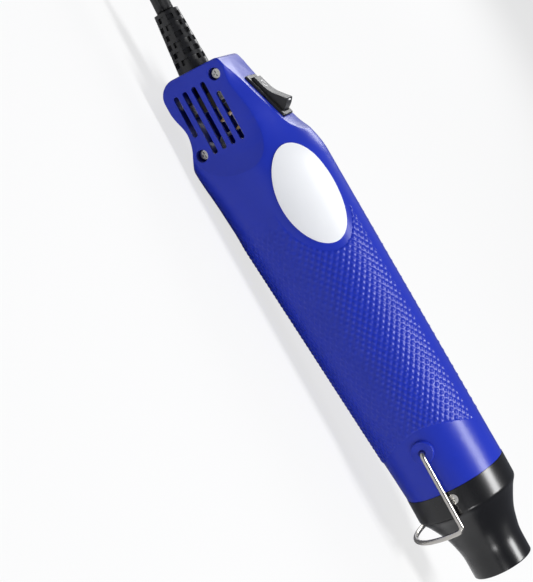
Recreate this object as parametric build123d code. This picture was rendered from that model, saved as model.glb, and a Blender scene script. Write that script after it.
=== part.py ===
from build123d import *
import math
import os

os.makedirs("parts", exist_ok=True)

# Lengths are in millimetres. The tool is drawn with x = 0 at its tail face, x growing towards
# the nozzle, and z = 0 on the nozzle's axis. put() then moves each piece to the part's own
# frame, whose origin is under the middle of the tool, on the surface that it lies on.
OVERRUN = 6.0
HALF = 0.5
THIRDS = (0, 120, 240)

# Body: two moulded shells, oval in section, that taper towards the nozzle
SHELL_LENGTH = 185.2
SHELL_WALL = 2.0
FRONT_RADIUS = 20.6
BELLY_X = 51.0
BELLY_HALF_WIDTH = 20.6
BELLY_HALF_HEIGHT = 23.8
BELLY_DROP = 5.7
BLEND_SHARES = (0.01, 0.02)
# Each head section: place as a share of BELLY_X, then half width, half height and drop as
# shares of the belly's, and the handles of its upper and its lower half, 0.552 being round
ROUND_SHARE = 0.5523
HEAD_SHARES = [
    (-0.12, 0.937, 0.807, 2.04, 0.552, 0.76),
    (0.16, 0.961, 0.836, 1.81, 0.552, 0.76),
    (0.41, 0.990, 0.882, 1.58, 0.536, 0.78),
    (0.61, 1.0, 0.933, 1.39, 0.51, 0.78),
    (0.80, 1.0, 0.979, 1.21, 0.525, 0.72),
    (1.0, 1.0, 1.0, 1.0, 0.552, 0.66),
]

# Tail face, and the strain relief that leaves it square
TAIL_TILT = 2.6
CORD_EXIT_DROP = 12.2

# Sloping top strip that carries the switch
STRIP_SLOPE = 16.8
SWITCH_X = 22.2
SWITCH_SEAT_Z = 8.15
STRIP_RUN = 32.0
STRIP_RUNOUT_RADIUS = 20.0
STRIP_RUNOUT_TURN = 30.0

# Flat cheeks with the air slots
CHEEK_HALF_GAP = 15.5
CHEEK_FLARE = 2.9
CHEEK_RUN = 28.0
CHEEK_RUNOUT_RADIUS = 42.0
CHEEK_RUNOUT_TURN = 21.5

# Underside: flat at the tail, then a shallow waist ahead of the belly
RIDGE_ROUND = 0.8
RIDGE_LEAST = 3.0
TAIL_TOP_ROUND = 2.2
TAIL_BASE_ROUND = 6.8
TAIL_BASE_RISE = 4.7
TAIL_BASE_DROP = BELLY_HALF_HEIGHT + BELLY_DROP - TAIL_BASE_RISE
WAIST_RISE = 2.0
WAIST_X = 20.0
WAIST_START_SHARE = 0.45
WAIST_SHARES = [(1.0, -1.0), (1.42, 0.0), (1.8, 2.9)]

# Air slots on each cheek, counted from the top; the first and the last one are shorter. The far
# cheek's slots sit a little higher than the near ones, and still overlap them in height.
SLOT_WIDTH = 2.0
SLOT_DEPTH_Y = 12.8
SLOT_COUNT = 5
SLOT_START = 6.0
SLOT_END = 31.9
SLOT_TOP_Z = -4.1
SLOT_PITCH = 3.95
SLOT_FIRST_CUT = 5.9
SLOT_LAST_CUT = 9.0
FAR_SLOT_RISE = 1.4

# Neck at the front of the shells that carries the nozzle
NECK_RADIUS = 18.7
NECK_WALL = 1.8
NECK_BORE = NECK_RADIUS - NECK_WALL
NECK_LENGTH = 8.8
NECK_END = SHELL_LENGTH + NECK_LENGTH
FRONT_WALL = 4.2
CAVITY_END = SHELL_LENGTH - FRONT_WALL

# Self-tapping screws that hold the shells together, driven from the near side
SHELL_SCREW_PLACES = [(5.7, -2.2), (30.1, -21.4)]
SCREW_RADIUS = 1.25
SCREW_HOLE_GAP = 0.15
SCREW_HOLE = SCREW_RADIUS + SCREW_HOLE_GAP
SCREW_PILOT_GAP = 0.02
SCREW_PILOT = SCREW_RADIUS + SCREW_PILOT_GAP
SCREW_HEAD_RADIUS = 1.8
SCREW_HEAD_HEIGHT = 1.4
SCREW_SEAT_Y = 11.0
SCREW_TIP_Y = 8.0
SCREW_SLOT_WIDTH = 0.6
SCREW_SLOT_SHARE = 0.65
COUNTERBORE_GAP = 0.6
COUNTERBORE_RADIUS = SCREW_HEAD_RADIUS + COUNTERBORE_GAP
BOSS_WALL = 1.2
BOSS_RADIUS = COUNTERBORE_RADIUS + BOSS_WALL
POST_WALL = 1.93
POST_RADIUS = SCREW_PILOT + POST_WALL
PILOT_OVERRUN = 1.0
PILOT_END_Y = SCREW_TIP_Y + PILOT_OVERRUN

# Bail: bent wire stand that turns in two bosses
BAIL_SETBACK = 17.8
BAIL_X = SHELL_LENGTH - BAIL_SETBACK
BAIL_Z = -1.4
BAIL_WIRE_RADIUS = 1.0
BAIL_HOLE_GAP = 0.05
BAIL_HOLE_RADIUS = BAIL_WIRE_RADIUS + BAIL_HOLE_GAP
BAIL_MOUTH_WIDTH = 0.4
BAIL_MOUTH_RADIUS = BAIL_HOLE_RADIUS + BAIL_MOUTH_WIDTH
BAIL_MOUTH_DEPTH = 0.5
BAIL_BOSS_RADIUS = 4.5
BAIL_BOSS_HEIGHT = 1.6
BAIL_BOSS_ROUND = 0.5
BAIL_BOSS_Y = FRONT_RADIUS + BAIL_BOSS_HEIGHT
BAIL_INNER_BOSS_RADIUS = 4.0
BAIL_INNER_BOSS_HEIGHT = 5.1
BAIL_INNER_BOSS_Y = FRONT_RADIUS - BAIL_INNER_BOSS_HEIGHT
BAIL_END_GAP = 0.7
BAIL_END_Y = BAIL_INNER_BOSS_Y + BAIL_END_GAP
BAIL_LEG_GAP = 0.6
BAIL_LEG_Y = BAIL_BOSS_Y + BAIL_WIRE_RADIUS + BAIL_LEG_GAP
BAIL_BEND_RADIUS = 2.1
BAIL_REACH = 33.1
BAIL_ARC_X = BAIL_X + BAIL_REACH
BAIL_CORNER_ANGLE = 7.5

# Nozzle: collar, flare and tip outside; flare, heater socket and outlet inside. The flares'
# points are shares of the way forward and of the way in.
COLLAR_GAP = 0.1
COLLAR_RADIUS = 20.8
COLLAR_START = SHELL_LENGTH + COLLAR_GAP
COLLAR_LENGTH = 9.0
COLLAR_END = COLLAR_START + COLLAR_LENGTH
COLLAR_BORE = NECK_RADIUS + COLLAR_GAP
COLLAR_BORE_GAP = 0.2
COLLAR_BORE_END = NECK_END + COLLAR_BORE_GAP
FLARE_LENGTH = 24.7
FLARE_SHARES = [(0.109, 0.141), (0.271, 0.424), (0.457, 0.688), (0.579, 0.812), (0.737, 0.924)]
NOZZLE_TIP_RADIUS = 12.3
NOZZLE_TIP_START = COLLAR_END + FLARE_LENGTH
NOZZLE_TIP_LENGTH = 6.0
NOZZLE_END = NOZZLE_TIP_START + NOZZLE_TIP_LENGTH
NOZZLE_LIP = 0.65
NOZZLE_LIP_X = NOZZLE_END - NOZZLE_LIP
OUTLET_WALL = 1.3
OUTLET_RADIUS = NOZZLE_TIP_RADIUS - OUTLET_WALL
OUTLET_DEPTH = 9.5
OUTLET_START = NOZZLE_END - OUTLET_DEPTH
TUBE_RADIUS = 11.3
SOCKET_GAP = 0.1
SOCKET_BORE = TUBE_RADIUS + SOCKET_GAP
SOCKET_DEPTH = 1.5
SOCKET_START = OUTLET_START - SOCKET_DEPTH
THROAT_RADIUS = 17.9
THROAT_SHARES = [(0, 0), (0.141, 0.062), (0.343, 0.369), (0.576, 0.723), (0.727, 0.869), (0.899, 0.985)]
COLLAR_SCREW_SETBACK = 3.5
COLLAR_SCREW_X = COLLAR_START + COLLAR_SCREW_SETBACK
COLLAR_SEAT_DEPTH = 1.1
COLLAR_SEAT_RADIUS = COLLAR_RADIUS - COLLAR_SEAT_DEPTH
COLLAR_SCREW_LENGTH = 3.3
COLLAR_HEAD_RADIUS = 2.1
COLLAR_HEAD_HEIGHT = 0.9
COLLAR_GROOVE_BACK = 2.9
COLLAR_GROOVE_FRONT = 0.9
COLLAR_GROOVE_WIDTH = 1.6
COLLAR_GROOVE_DEPTH = 0.7

# Label plate, blank
LABEL_X = 61.7
LABEL_DROP = 5.0
LABEL_ANGLE = 38.7
LABEL_HALF_LENGTH = 20.6
LABEL_HALF_WIDTH = 11.6
LABEL_THICKNESS = 0.3

# Motor on the nozzle's axis, each piece placed from the can's open end
SHAFT_RADIUS = 1.0
RUNNING_GAP = 0.05
BEARING_BORE = SHAFT_RADIUS + RUNNING_GAP
CAN_START = 52.0
CAN_LENGTH = 28.0
CAN_WALL = 1.0
CAN_RADIUS = 12.0
CAN_BORE = CAN_RADIUS - CAN_WALL
CAN_END = CAN_START + CAN_LENGTH
CAN_FACE = CAN_END - CAN_WALL
BEARING_RADIUS = 3.2
BEARING_LENGTH = 2.0
BEARING_END = CAN_END + BEARING_LENGTH
CAP_THICKNESS = 2.0
CAP_START = CAN_START - CAP_THICKNESS
CAP_SPIGOT_WALL = 0.95
CAP_SPIGOT_RADIUS = CAN_BORE - RUNNING_GAP
CAP_SPIGOT_BORE = CAP_SPIGOT_RADIUS - CAP_SPIGOT_WALL
CAP_SPIGOT_LENGTH = 2.0
CAP_SPIGOT_END = CAN_START + CAP_SPIGOT_LENGTH
CAP_BEARING_LENGTH = 3.0
CAP_BEARING_START = CAP_START - CAP_BEARING_LENGTH
SHAFT_TAIL = 0.4
SHAFT_START = CAP_BEARING_START - SHAFT_TAIL
MAGNET_SETBACK = 7.0
MAGNET_START = CAN_START + MAGNET_SETBACK
MAGNET_FRONT_GAP = 2.0
MAGNET_END = CAN_FACE - MAGNET_FRONT_GAP
MAGNET_THICKNESS = 1.95
MAGNET_RADIUS = CAN_BORE - RUNNING_GAP
MAGNET_BORE = MAGNET_RADIUS - MAGNET_THICKNESS
MAGNET_HALF_HEIGHT = 7.6
AIR_GAP = 0.5
CORE_RADIUS = MAGNET_BORE - AIR_GAP
CORE_SETBACK = 1.5
CORE_START = MAGNET_START + CORE_SETBACK
CORE_END = MAGNET_END - CORE_SETBACK
POLE_SLOT_WIDTH = 1.8
POLE_POCKET_RADIUS = 2.5
POLE_POCKET_PLACE = 5.6
WINDING_GAP = 0.2
WINDING_RADIUS = POLE_POCKET_RADIUS - WINDING_GAP
WINDING_OVERHANG = 1.6
WINDING_END_BORE = SHAFT_RADIUS + WINDING_GAP
WINDING_END_RADIUS = 7.6
COMMUTATOR_RADIUS = 3.0
COMMUTATOR_SETBACK = 0.5
COMMUTATOR_START = CAP_SPIGOT_END + COMMUTATOR_SETBACK
COMMUTATOR_LENGTH = 3.9
COMMUTATOR_END = COMMUTATOR_START + COMMUTATOR_LENGTH
COMMUTATOR_GAP = 0.4
BRUSH_SETBACK = 0.5
BRUSH_START = COMMUTATOR_START + BRUSH_SETBACK
BRUSH_LENGTH = 2.8
BRUSH_END = BRUSH_START + BRUSH_LENGTH
BRUSH_HEIGHT = 2.9
BRUSH_GAP = 0.3
BRUSH_TOP = COMMUTATOR_RADIUS + BRUSH_GAP + BRUSH_HEIGHT
BRUSH_HALF_WIDTH = 1.4
BRUSH_ARM = 0.6
CRADLE_SETBACK = 4.0
CRADLE_THICKNESS = 2.0
CRADLE_STARTS = [CAN_START + CRADLE_SETBACK, CAN_END - CRADLE_SETBACK - CRADLE_THICKNESS]
CRADLE_HALF_HEIGHT = 5.0
CRADLE_GAP = 0.1

# Rectifier board behind the motor
BOARD_RADIUS = 11.0
BOARD_GAP = 1.1
BOARD_THICKNESS = 1.6
BOARD_END = CAP_BEARING_START - BOARD_GAP
BOARD_START = BOARD_END - BOARD_THICKNESS
DIODE_LENGTH = 5.2
DIODE_RADIUS = 1.35
DIODE_Y = 4.0
DIODE_TOP_Z = 4.0
DIODE_BASE_Z = -3.0
DIODE_WIRE_RADIUS = 0.4
MOTOR_TAB_Y = 8.0
MOTOR_TAB_TAIL = 0.7
MOTOR_TAB_START = BOARD_START - MOTOR_TAB_TAIL
MOTOR_TAB_WIDTH = 2.4
MOTOR_TAB_THICKNESS = 0.5

# Fan and its duct
FAN_HUB_RADIUS = 5.0
FAN_SETBACK = 5.0
FAN_START = BEARING_END + FAN_SETBACK
FAN_LENGTH = 9.0
FAN_END = FAN_START + FAN_LENGTH
SHAFT_RECESS = 1.0
SHAFT_END = FAN_END - SHAFT_RECESS
FAN_RADIUS = 15.2
FAN_BLADES = 7
FAN_BLADE_THICKNESS = 1.2
FAN_BLADE_CHORD = 10.4
FAN_BLADE_PITCH = 35.0
DUCT_SETBACK = 2.0
DUCT_START = BEARING_END + DUCT_SETBACK
DUCT_PLATE_THICKNESS = 2.0
DUCT_PLATE_END = DUCT_START + DUCT_PLATE_THICKNESS
FAN_TIP_GAP = 0.5
DUCT_BORE = FAN_RADIUS + FAN_TIP_GAP
DUCT_WALL = 1.0
DUCT_RADIUS = DUCT_BORE + DUCT_WALL
DUCT_SHROUD_REACH = 4.0
DUCT_SHROUD_END = FAN_END + DUCT_SHROUD_REACH
DUCT_CONE_LENGTH = 20.0
DUCT_SOCKET_START = DUCT_SHROUD_END + DUCT_CONE_LENGTH
DUCT_SOCKET_BORE = TUBE_RADIUS + RUNNING_GAP
DUCT_SOCKET_LENGTH = 8.0
DUCT_SOCKET_END = DUCT_SOCKET_START + DUCT_SOCKET_LENGTH
DUCT_GAP = 0.1
DUCT_RIB_WIDTH = 1.0
DUCT_RIB_Y = 17.3
LEAD_HOLE_GAP = 0.2

# Heater: steel tube, mica sleeve and crossed mica plates, wound with resistance wire
TUBE_WALL = 0.5
TUBE_BORE = TUBE_RADIUS - TUBE_WALL
TUBE_SEAT = 6.0
TUBE_START = DUCT_SOCKET_END - TUBE_SEAT
TUBE_END_GAP = 0.1
TUBE_END = OUTLET_START - TUBE_END_GAP
SLEEVE_WALL = 0.5
SLEEVE_BORE = TUBE_RADIUS + SOCKET_GAP
SLEEVE_RADIUS = SLEEVE_BORE + SLEEVE_WALL
SLEEVE_SETBACK = 2.0
SLEEVE_START = DUCT_SOCKET_END + SLEEVE_SETBACK
SPACER_THICKNESS = 2.0
SPACER_SETBACK = 1.2
SPACER_START = SHELL_LENGTH - SPACER_SETBACK
SPACER_END = SPACER_START + SPACER_THICKNESS
SPACER_RADIUS = NECK_BORE - SOCKET_GAP
SPACER_BORE = TUBE_RADIUS + RUNNING_GAP
SLEEVE_END_GAP = 1.0
SLEEVE_END = SPACER_START - SLEEVE_END_GAP
MICA_THICKNESS = 0.8
MICA_SETBACK = 2.5
MICA_START = DUCT_SOCKET_END + MICA_SETBACK
MICA_FRONT_GAP = 5.4
MICA_END = TUBE_END - MICA_FRONT_GAP
MICA_END_LENGTH = 4.0
MICA_GAP = 0.4
MICA_HALF_WIDTH = TUBE_BORE - MICA_GAP
COIL_RADIUS = 8.0
COIL_WIRE_RADIUS = 0.45
COIL_SEAT_GAP = 0.15
MICA_WAIST = COIL_RADIUS - COIL_WIRE_RADIUS - COIL_SEAT_GAP
COIL_BACK_GAP = 7.5
COIL_START = MICA_START + COIL_BACK_GAP
COIL_FRONT_GAP = 8.0
COIL_END = MICA_END - COIL_FRONT_GAP
COIL_TURNS = 11
COIL_END_ANGLE = 225.0
LEAD_Y = 4.2
RETURN_OFFSET = 4.2
CUTOUT_SETBACK = 1.0
CUTOUT_START = MICA_START + CUTOUT_SETBACK
CUTOUT_LENGTH = 6.0
CUTOUT_END = CUTOUT_START + CUTOUT_LENGTH
CUTOUT_RADIUS = 2.0
GRILLE_SETBACK = 1.2
GRILLE_THICKNESS = 1.2
GRILLE_END = TUBE_END - GRILLE_SETBACK
GRILLE_START = GRILLE_END - GRILLE_THICKNESS
GRILLE_RADIUS = TUBE_BORE - RUNNING_GAP
GRILLE_RING = 1.3
GRILLE_BAR = 1.0
GRILLE_PITCH = 3.6
GRILLE_STEPS = (-2, -1, 0, 1, 2)

# Leads from the board to the heater
LEAD_RADIUS = 0.9
LEAD_HOLE_RADIUS = LEAD_RADIUS + LEAD_HOLE_GAP
LEAD_START_GAP = 1.0
LEAD_START_X = BOARD_START - LEAD_START_GAP
LEAD_START_Z = -9.0
LEAD_RUN_Z = -19.0
LEAD_END_SETBACK = 1.0
LEAD_END_X = DUCT_SOCKET_END + LEAD_END_SETBACK
LEAD_BEND = 4.0
LEAD_REACH = 0.4

# Rocker switch, drawn level and then set on the strip
BEZEL_LENGTH = 21.0
BEZEL_WIDTH = 15.0
BEZEL_HEIGHT = 1.1
BEZEL_CORNER = 1.2
SWITCH_LENGTH = 19.0
SWITCH_WIDTH = 12.7
SWITCH_DEPTH = 13.0
SWITCH_HOLE_GAP = 0.1
SWITCH_WELL_LENGTH = 17.8
SWITCH_WELL_WIDTH = 10.4
SWITCH_WELL_DEPTH = 7.2
ROCKER_SIDE_GAP = 0.3
ROCKER_WIDTH = SWITCH_WELL_WIDTH - 2 * ROCKER_SIDE_GAP
ROCKER_RADIUS = SWITCH_WELL_LENGTH / 2 - ROCKER_SIDE_GAP
ROCKER_PIVOT_Z = -0.4
ROCKER_CENTRE_Z = 2.5
ROCKER_VALLEY_RADIUS = 14.0
ROCKER_BASE_Z = -4.5
ROCKER_TILT = 12.0
ROCKER_PIN_RADIUS = 1.0
ROCKER_PIN_BORE = ROCKER_PIN_RADIUS + RUNNING_GAP
ROCKER_PIN_END = 6.1
TERMINAL_WIDTH = 4.8
TERMINAL_THICKNESS = 0.8
TERMINAL_END = 19.5
TERMINAL_EMBED = 3.5
TERMINAL_PITCH = 6.2

# Leads between the cord, the switch and the board
SUPPLY_RADIUS = 0.8
SUPPLY_BEND = 2.2
SUPPLY_GAP = 0.05
TERMINAL_GRIP = 1.2
NEUTRAL_RISE_X = 36.0
NEUTRAL_TOP_Z = -5.0
SWITCHED_BASE_Z = -16.0
SWITCHED_RISE_X = 39.5
SWITCHED_TOP_Z = -7.0

# Cord: flat twin lead, tall way up
CORD_CORE_RADIUS = 1.8
CORD_CORE_OFFSET = 1.7
CORD_GAP = 0.1
CORD_INNER_END = 16.0

# Clamp that grips the cord inside the tail
CLAMP_X = 13.0
CLAMP_HALF_LENGTH = 3.0
CLAMP_HALF_HEIGHT = 8.6
CLAMP_THICKNESS = 1.8
CLAMP_SCREW_OFFSET = 6.2
CLAMP_SCREW_TIP = 7.0
CLAMP_SCREW_RADIUS = 1.1
CLAMP_SCREW_HOLE = CLAMP_SCREW_RADIUS + SWITCH_HOLE_GAP
CLAMP_SCREW_PILOT = CLAMP_SCREW_RADIUS + SCREW_PILOT_GAP
CLAMP_HEAD_RADIUS = 2.0

# Strain relief, drawn along X and then tilted with the tail face
RELIEF_ROOT_RADIUS = 6.5
RELIEF_END_RADIUS = 4.95
RELIEF_CELL_DEPTH = 0.75
RELIEF_ROOT_CELL_DEPTH = 1.3
RELIEF_NECK_RADIUS = 5.3
RELIEF_HOLE_RADIUS = RELIEF_NECK_RADIUS + CORD_GAP
RELIEF_INNER_LENGTH = 1.8
RELIEF_LENGTH = 24.8
RELIEF_FOOT = 3.2
RELIEF_RING_LENGTH = 1.5
RELIEF_RINGS = 6
RELIEF_RIBS = 8
RELIEF_RIB_WIDTH = 1.3

# Free stretch of cord: straight out of the strain relief, then down and sideways to the hank
FREE_LEAD = 13.2
FREE_RUN = 48.0
CORD_FLOOR_HEIGHT = 4.4

# Hank of spare cord: long loops in two layers, strapped, in line with the tool behind its tail
HANK_TURNS = 3
HANK_PITCH = 4.45
HANK_LAYER = 7.7
HANK_RADIUS = 24.6
HANK_SIDE = 5.0
HANK_STRAIGHT = 59.0
HANK_LEAD = 12.0
HANK_EXIT_RUN = 48.0
HANK_END_RUN = 5.0
HANK_LEAST_GAP = 0.4
SAMPLE_STEP = 2.0
SAMPLE_SKIP = 12
TIE_THICKNESS = 0.8
TIE_WIDTH = 5.0
TIE_GAP = 0.8
TIE_BASE = 0.03

# Two-pin plug
PLUG_LENGTH = 30.0
PLUG_WIDTH = 22.0
PLUG_HEIGHT = 15.0
PLUG_ROUND = 3.0
PLUG_LIFT = 0.05
PLUG_OFFSET = 13.0
PLUG_Y = HANK_SIDE - PLUG_OFFSET
BLADE_LENGTH = 16.0
BLADE_HEIGHT = 6.35
BLADE_THICKNESS = 1.5
BLADE_SPACING = 12.7
BLADE_EMBED = 8.0

# The part's own frame: under the middle of the tool's length, on the surface it lies on
RELIEF_BACK = (RELIEF_LENGTH * math.cos(math.radians(TAIL_TILT))
               + RELIEF_END_RADIUS * math.sin(math.radians(TAIL_TILT)))
FRAME_X = (NOZZLE_END - RELIEF_BACK) / 2


def put(shape):
    """Move a piece from the tool's drawing frame to the part's own frame."""
    return Pos(-FRAME_X, 0, REST_DROP) * shape


def save(shape, node):
    """Write one sub-part, and count its solids."""
    part = put(shape)
    export_step(part, f"parts/{node}.step")
    print(f"{node}: {len(part.solids())} solid(s), {part.volume:.0f} mm3")


def cross_plane(x, z=0.0):
    """Plane across the tool at x: its own x runs along +Y and its own y along +Z."""
    return Plane(origin=(x, 0, z), x_dir=(0, 1, 0), z_dir=(1, 0, 0))


def side_plane(x, y, z):
    """Plane facing +Y at a point: its own x runs along -X and its own y along +Z."""
    return Plane(origin=(x, y, z), x_dir=(-1, 0, 0), z_dir=(0, 1, 0))


def rod_x(radius, x_start, x_end, y=0.0, z=0.0):
    """Round bar along X."""
    disc = Plane(origin=(x_start, y, z), x_dir=(0, 1, 0), z_dir=(1, 0, 0)) * Circle(radius)
    return extrude(disc, x_end - x_start)


def rod_y(radius, x, z, y_start, y_end):
    """Round bar along Y."""
    return extrude(side_plane(x, y_start, z) * Circle(radius), y_end - y_start)


def block(x_low, x_high, y_low, y_high, z_low, z_high):
    """Box between two corners."""
    centre = Pos((x_low + x_high) / 2, (y_low + y_high) / 2, (z_low + z_high) / 2)
    return centre * Box(x_high - x_low, y_high - y_low, z_high - z_low)


def turned(points):
    """Solid of revolution about the nozzle's axis from (x, radius) corners."""
    outline = make_face(Polyline([(x, radius) for x, radius in points], close=True))
    return revolve(Plane.XZ * outline, Axis.X)


def oval(x, half_width, half_height, drop, top_handle, low_handle):
    """Section of the body: four curves whose handles make a half round or squarer."""
    quarters = []
    for side, rise, handle in ((1, 1, top_handle), (-1, 1, top_handle),
                               (-1, -1, low_handle), (1, -1, low_handle)):
        flank = (side * half_width, 0)
        crown = (0, rise * half_height)
        ends = (flank, crown) if side == rise else (crown, flank)
        flank_pull = (flank[0], crown[1] * handle)
        crown_pull = (flank[0] * handle, crown[1])
        pulls = (flank_pull, crown_pull) if side == rise else (crown_pull, flank_pull)
        quarters.append(Bezier(ends[0], pulls[0], pulls[1], ends[1]))
    return cross_plane(x, -drop) * make_face(quarters)


def head_section(shares, inset):
    """One section of the head, ahead of the straight taper."""
    x_share, width_share, height_share, drop_share, top_handle, low_handle = shares
    return oval(x_share * BELLY_X, width_share * BELLY_HALF_WIDTH - inset,
                height_share * BELLY_HALF_HEIGHT - inset, drop_share * BELLY_DROP, top_handle, low_handle)


def grip_section(share, inset):
    """One section of the straight taper, a share of the way from the belly to the front."""
    last_handle = HEAD_SHARES[-1][-1]
    return oval(BELLY_X + share * (SHELL_LENGTH - BELLY_X),
                BELLY_HALF_WIDTH + share * (FRONT_RADIUS - BELLY_HALF_WIDTH) - inset,
                BELLY_HALF_HEIGHT + share * (FRONT_RADIUS - BELLY_HALF_HEIGHT) - inset,
                BELLY_DROP * (1 - share), ROUND_SHARE, last_handle + share * (ROUND_SHARE - last_handle))


def body_blank(inset):
    """Oval tapering barrel, before its flats, with its surface moved in by inset."""
    head = [head_section(shares, inset) for shares in HEAD_SHARES]
    joint = [grip_section(share, inset) for share in BLEND_SHARES]
    return loft(head + joint) + loft([joint[-1], grip_section(1, inset)], ruled=True)


def tail_piece(shape):
    """Tilt a piece drawn along X to stand square on the tail face."""
    return Pos(0, 0, -CORD_EXIT_DROP) * Rot(0, TAIL_TILT, 0) * shape


def strip_piece(shape):
    """Set a piece drawn on a level surface onto the sloping strip."""
    return Pos(SWITCH_X, 0, SWITCH_SEAT_Z) * Rot(0, -STRIP_SLOPE, 0) * shape


def spot(move, x, y, z):
    """Where a point of a piece drawn straight ends up once the piece is tilted into place."""
    return move(Pos(x, y, z) * Sphere(SHELL_WALL)).center()


def side_outline(inset):
    """Side view of the body: strip, tail face and underside in one closed outline."""
    reach = 2 * BELLY_HALF_HEIGHT
    slope = math.radians(STRIP_SLOPE)
    lean = math.tan(math.radians(TAIL_TILT))
    back = inset / math.cos(math.radians(TAIL_TILT))
    seat = (SWITCH_X + inset * math.sin(slope), SWITCH_SEAT_Z - inset * math.cos(slope))
    run_end = (STRIP_RUN, seat[1] + (STRIP_RUN - seat[0]) * math.tan(slope))
    level = seat[1] - seat[0] * math.tan(slope)
    top_z = (level + (back + CORD_EXIT_DROP * lean) * math.tan(slope)) / (1 - lean * math.tan(slope))
    top = (back + (top_z + CORD_EXIT_DROP) * lean, top_z)
    base_z = inset - TAIL_BASE_DROP
    base = (back + (base_z + CORD_EXIT_DROP) * lean, base_z)
    flat_end = (WAIST_START_SHARE * WAIST_X, base_z)
    face = FilletPolyline([run_end, top, base, flat_end],
                          radius=[TAIL_TOP_ROUND - inset, TAIL_BASE_ROUND - inset])
    last = math.radians(STRIP_SLOPE + STRIP_RUNOUT_TURN)
    radius = STRIP_RUNOUT_RADIUS + inset
    arc_end = (run_end[0] + radius * (math.sin(last) - math.sin(slope)),
               run_end[1] + radius * (math.cos(slope) - math.cos(last)))
    lip = (arc_end[0] + (reach - arc_end[1]) / math.tan(last), reach)
    bend = TangentArc(run_end, arc_end, tangent=(math.cos(slope), math.sin(slope)))
    under = [flat_end] + [(share * WAIST_X, base_z - drop * WAIST_RISE) for share, drop in WAIST_SHARES]
    waist = Spline(under, tangents=[(1, 0), (under[-1][0] - under[-2][0], under[-1][1] - under[-2][1])])
    far = SHELL_LENGTH + reach
    rest = Polyline([arc_end, lip, (far, reach), (far, -reach), (under[-1][0], -reach), under[-1]])
    return make_face([*face.edges(), bend, waist, *rest.edges()])


def cheek_outline():
    """Cutter for one cheek, seen from above: a flat, then an arc that runs out of the body."""
    reach = 2 * BELLY_HALF_HEIGHT
    first = math.radians(CHEEK_FLARE)
    last = math.radians(CHEEK_FLARE + CHEEK_RUNOUT_TURN)
    begin = (-OVERRUN, CHEEK_HALF_GAP - OVERRUN * math.tan(first))
    flat_end = (CHEEK_RUN, CHEEK_HALF_GAP + CHEEK_RUN * math.tan(first))
    arc_end = (flat_end[0] + CHEEK_RUNOUT_RADIUS * (math.sin(last) - math.sin(first)),
               flat_end[1] + CHEEK_RUNOUT_RADIUS * (math.cos(first) - math.cos(last)))
    lip = (arc_end[0] + (reach - arc_end[1]) / math.tan(last), reach)
    run = Line(begin, flat_end)
    bend = TangentArc(flat_end, arc_end, tangent=(math.cos(first), math.sin(first)))
    rest = Polyline([arc_end, lip, (-OVERRUN, reach), begin])
    return make_face([run, bend, *rest.edges()])


def body_form(inset):
    """The body's closed form, moved in by inset."""
    tall = 4 * BELLY_HALF_HEIGHT
    form = body_blank(inset) & extrude(Plane.XZ * side_outline(inset), tall, both=True)
    cheek = Pos(0, -inset, 0) * extrude(cheek_outline(), tall, both=True)
    return form - cheek - mirror(cheek, Plane.XZ)


def soft_form():
    """The body's outer form with the ridges between its flats rounded."""
    form = body_form(0)
    ridges = [edge for edge in form.edges()
              if edge.length > RIDGE_LEAST and RIDGE_LEAST < edge.center().X < BELLY_X - RIDGE_LEAST
              and abs(edge.center().Y) > RIDGE_LEAST and edge.geom_type != GeomType.LINE]
    return fillet(ridges, RIDGE_ROUND)


def both_sides(shape):
    """A piece and its mirror image across the tool's middle plane."""
    return [shape, mirror(shape, Plane.XZ)]


def tube(points, bends, radius):
    """Round wire along a bent line."""
    path = FilletPolyline(points, radius=bends) if len(points) > 2 else Line(points[0], points[1])
    return sweep(Plane(origin=path @ 0, z_dir=path % 0) * Circle(radius), path=path)


def group(solids):
    """Several separate solids as one node."""
    return Compound(children=[solid for shape in solids for solid in shape.solids()])


def screw(head_radius, head_height, radius, length, seat):
    """Pan-head screw along +Y with a crossed slot; its seat is at y = seat."""
    body = rod_y(head_radius, 0, 0, seat - head_height, seat) + rod_y(radius, 0, 0, seat, seat + length)
    top = seat - head_height
    span = head_radius * SCREW_SLOT_SHARE
    half = SCREW_SLOT_WIDTH / 2
    depth = head_height / 2
    body -= block(-span, span, top, top + depth, -half, half)
    return body - block(-half, half, top, top + depth, -span, span)


# Shells
def shell_features(side):
    """What stands inside one shell: screw bosses or posts, bail boss, cradles and duct ribs."""
    wall = BELLY_HALF_WIDTH
    parts = []
    for x, z in SHELL_SCREW_PLACES:
        radius = BOSS_RADIUS if side < 0 else POST_RADIUS
        parts.append(rod_y(radius, x, z, 0, side * wall))
    parts.append(rod_y(BAIL_INNER_BOSS_RADIUS, BAIL_X, BAIL_Z, side * BAIL_INNER_BOSS_Y, side * wall))
    tall = CRADLE_HALF_HEIGHT
    for start in CRADLE_STARTS:
        end = start + CRADLE_THICKNESS
        rib = block(start, end, min(0, side * wall), max(0, side * wall), -tall, tall)
        parts.append(rib - rod_x(CAN_RADIUS + CRADLE_GAP, start - OVERRUN, end + OVERRUN))
    for start in (DUCT_START - DUCT_GAP - DUCT_RIB_WIDTH, DUCT_PLATE_END + DUCT_GAP):
        low, high = sorted((side * DUCT_RIB_Y, side * wall))
        parts.append(block(start, start + DUCT_RIB_WIDTH, low, high, -tall, tall))
    if side > 0:
        length, height = CLAMP_HALF_LENGTH, CLAMP_HALF_HEIGHT
        centre = clamp_height()
        face = CORD_CORE_RADIUS
        parts.append(block(CLAMP_X - length, CLAMP_X + length, face, wall, centre - height, centre + height))
    return parts


def clamp_height():
    """Height of the cord's middle at the clamp, inside the tail."""
    return -CORD_EXIT_DROP - CLAMP_X * math.tan(math.radians(TAIL_TILT))


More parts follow.
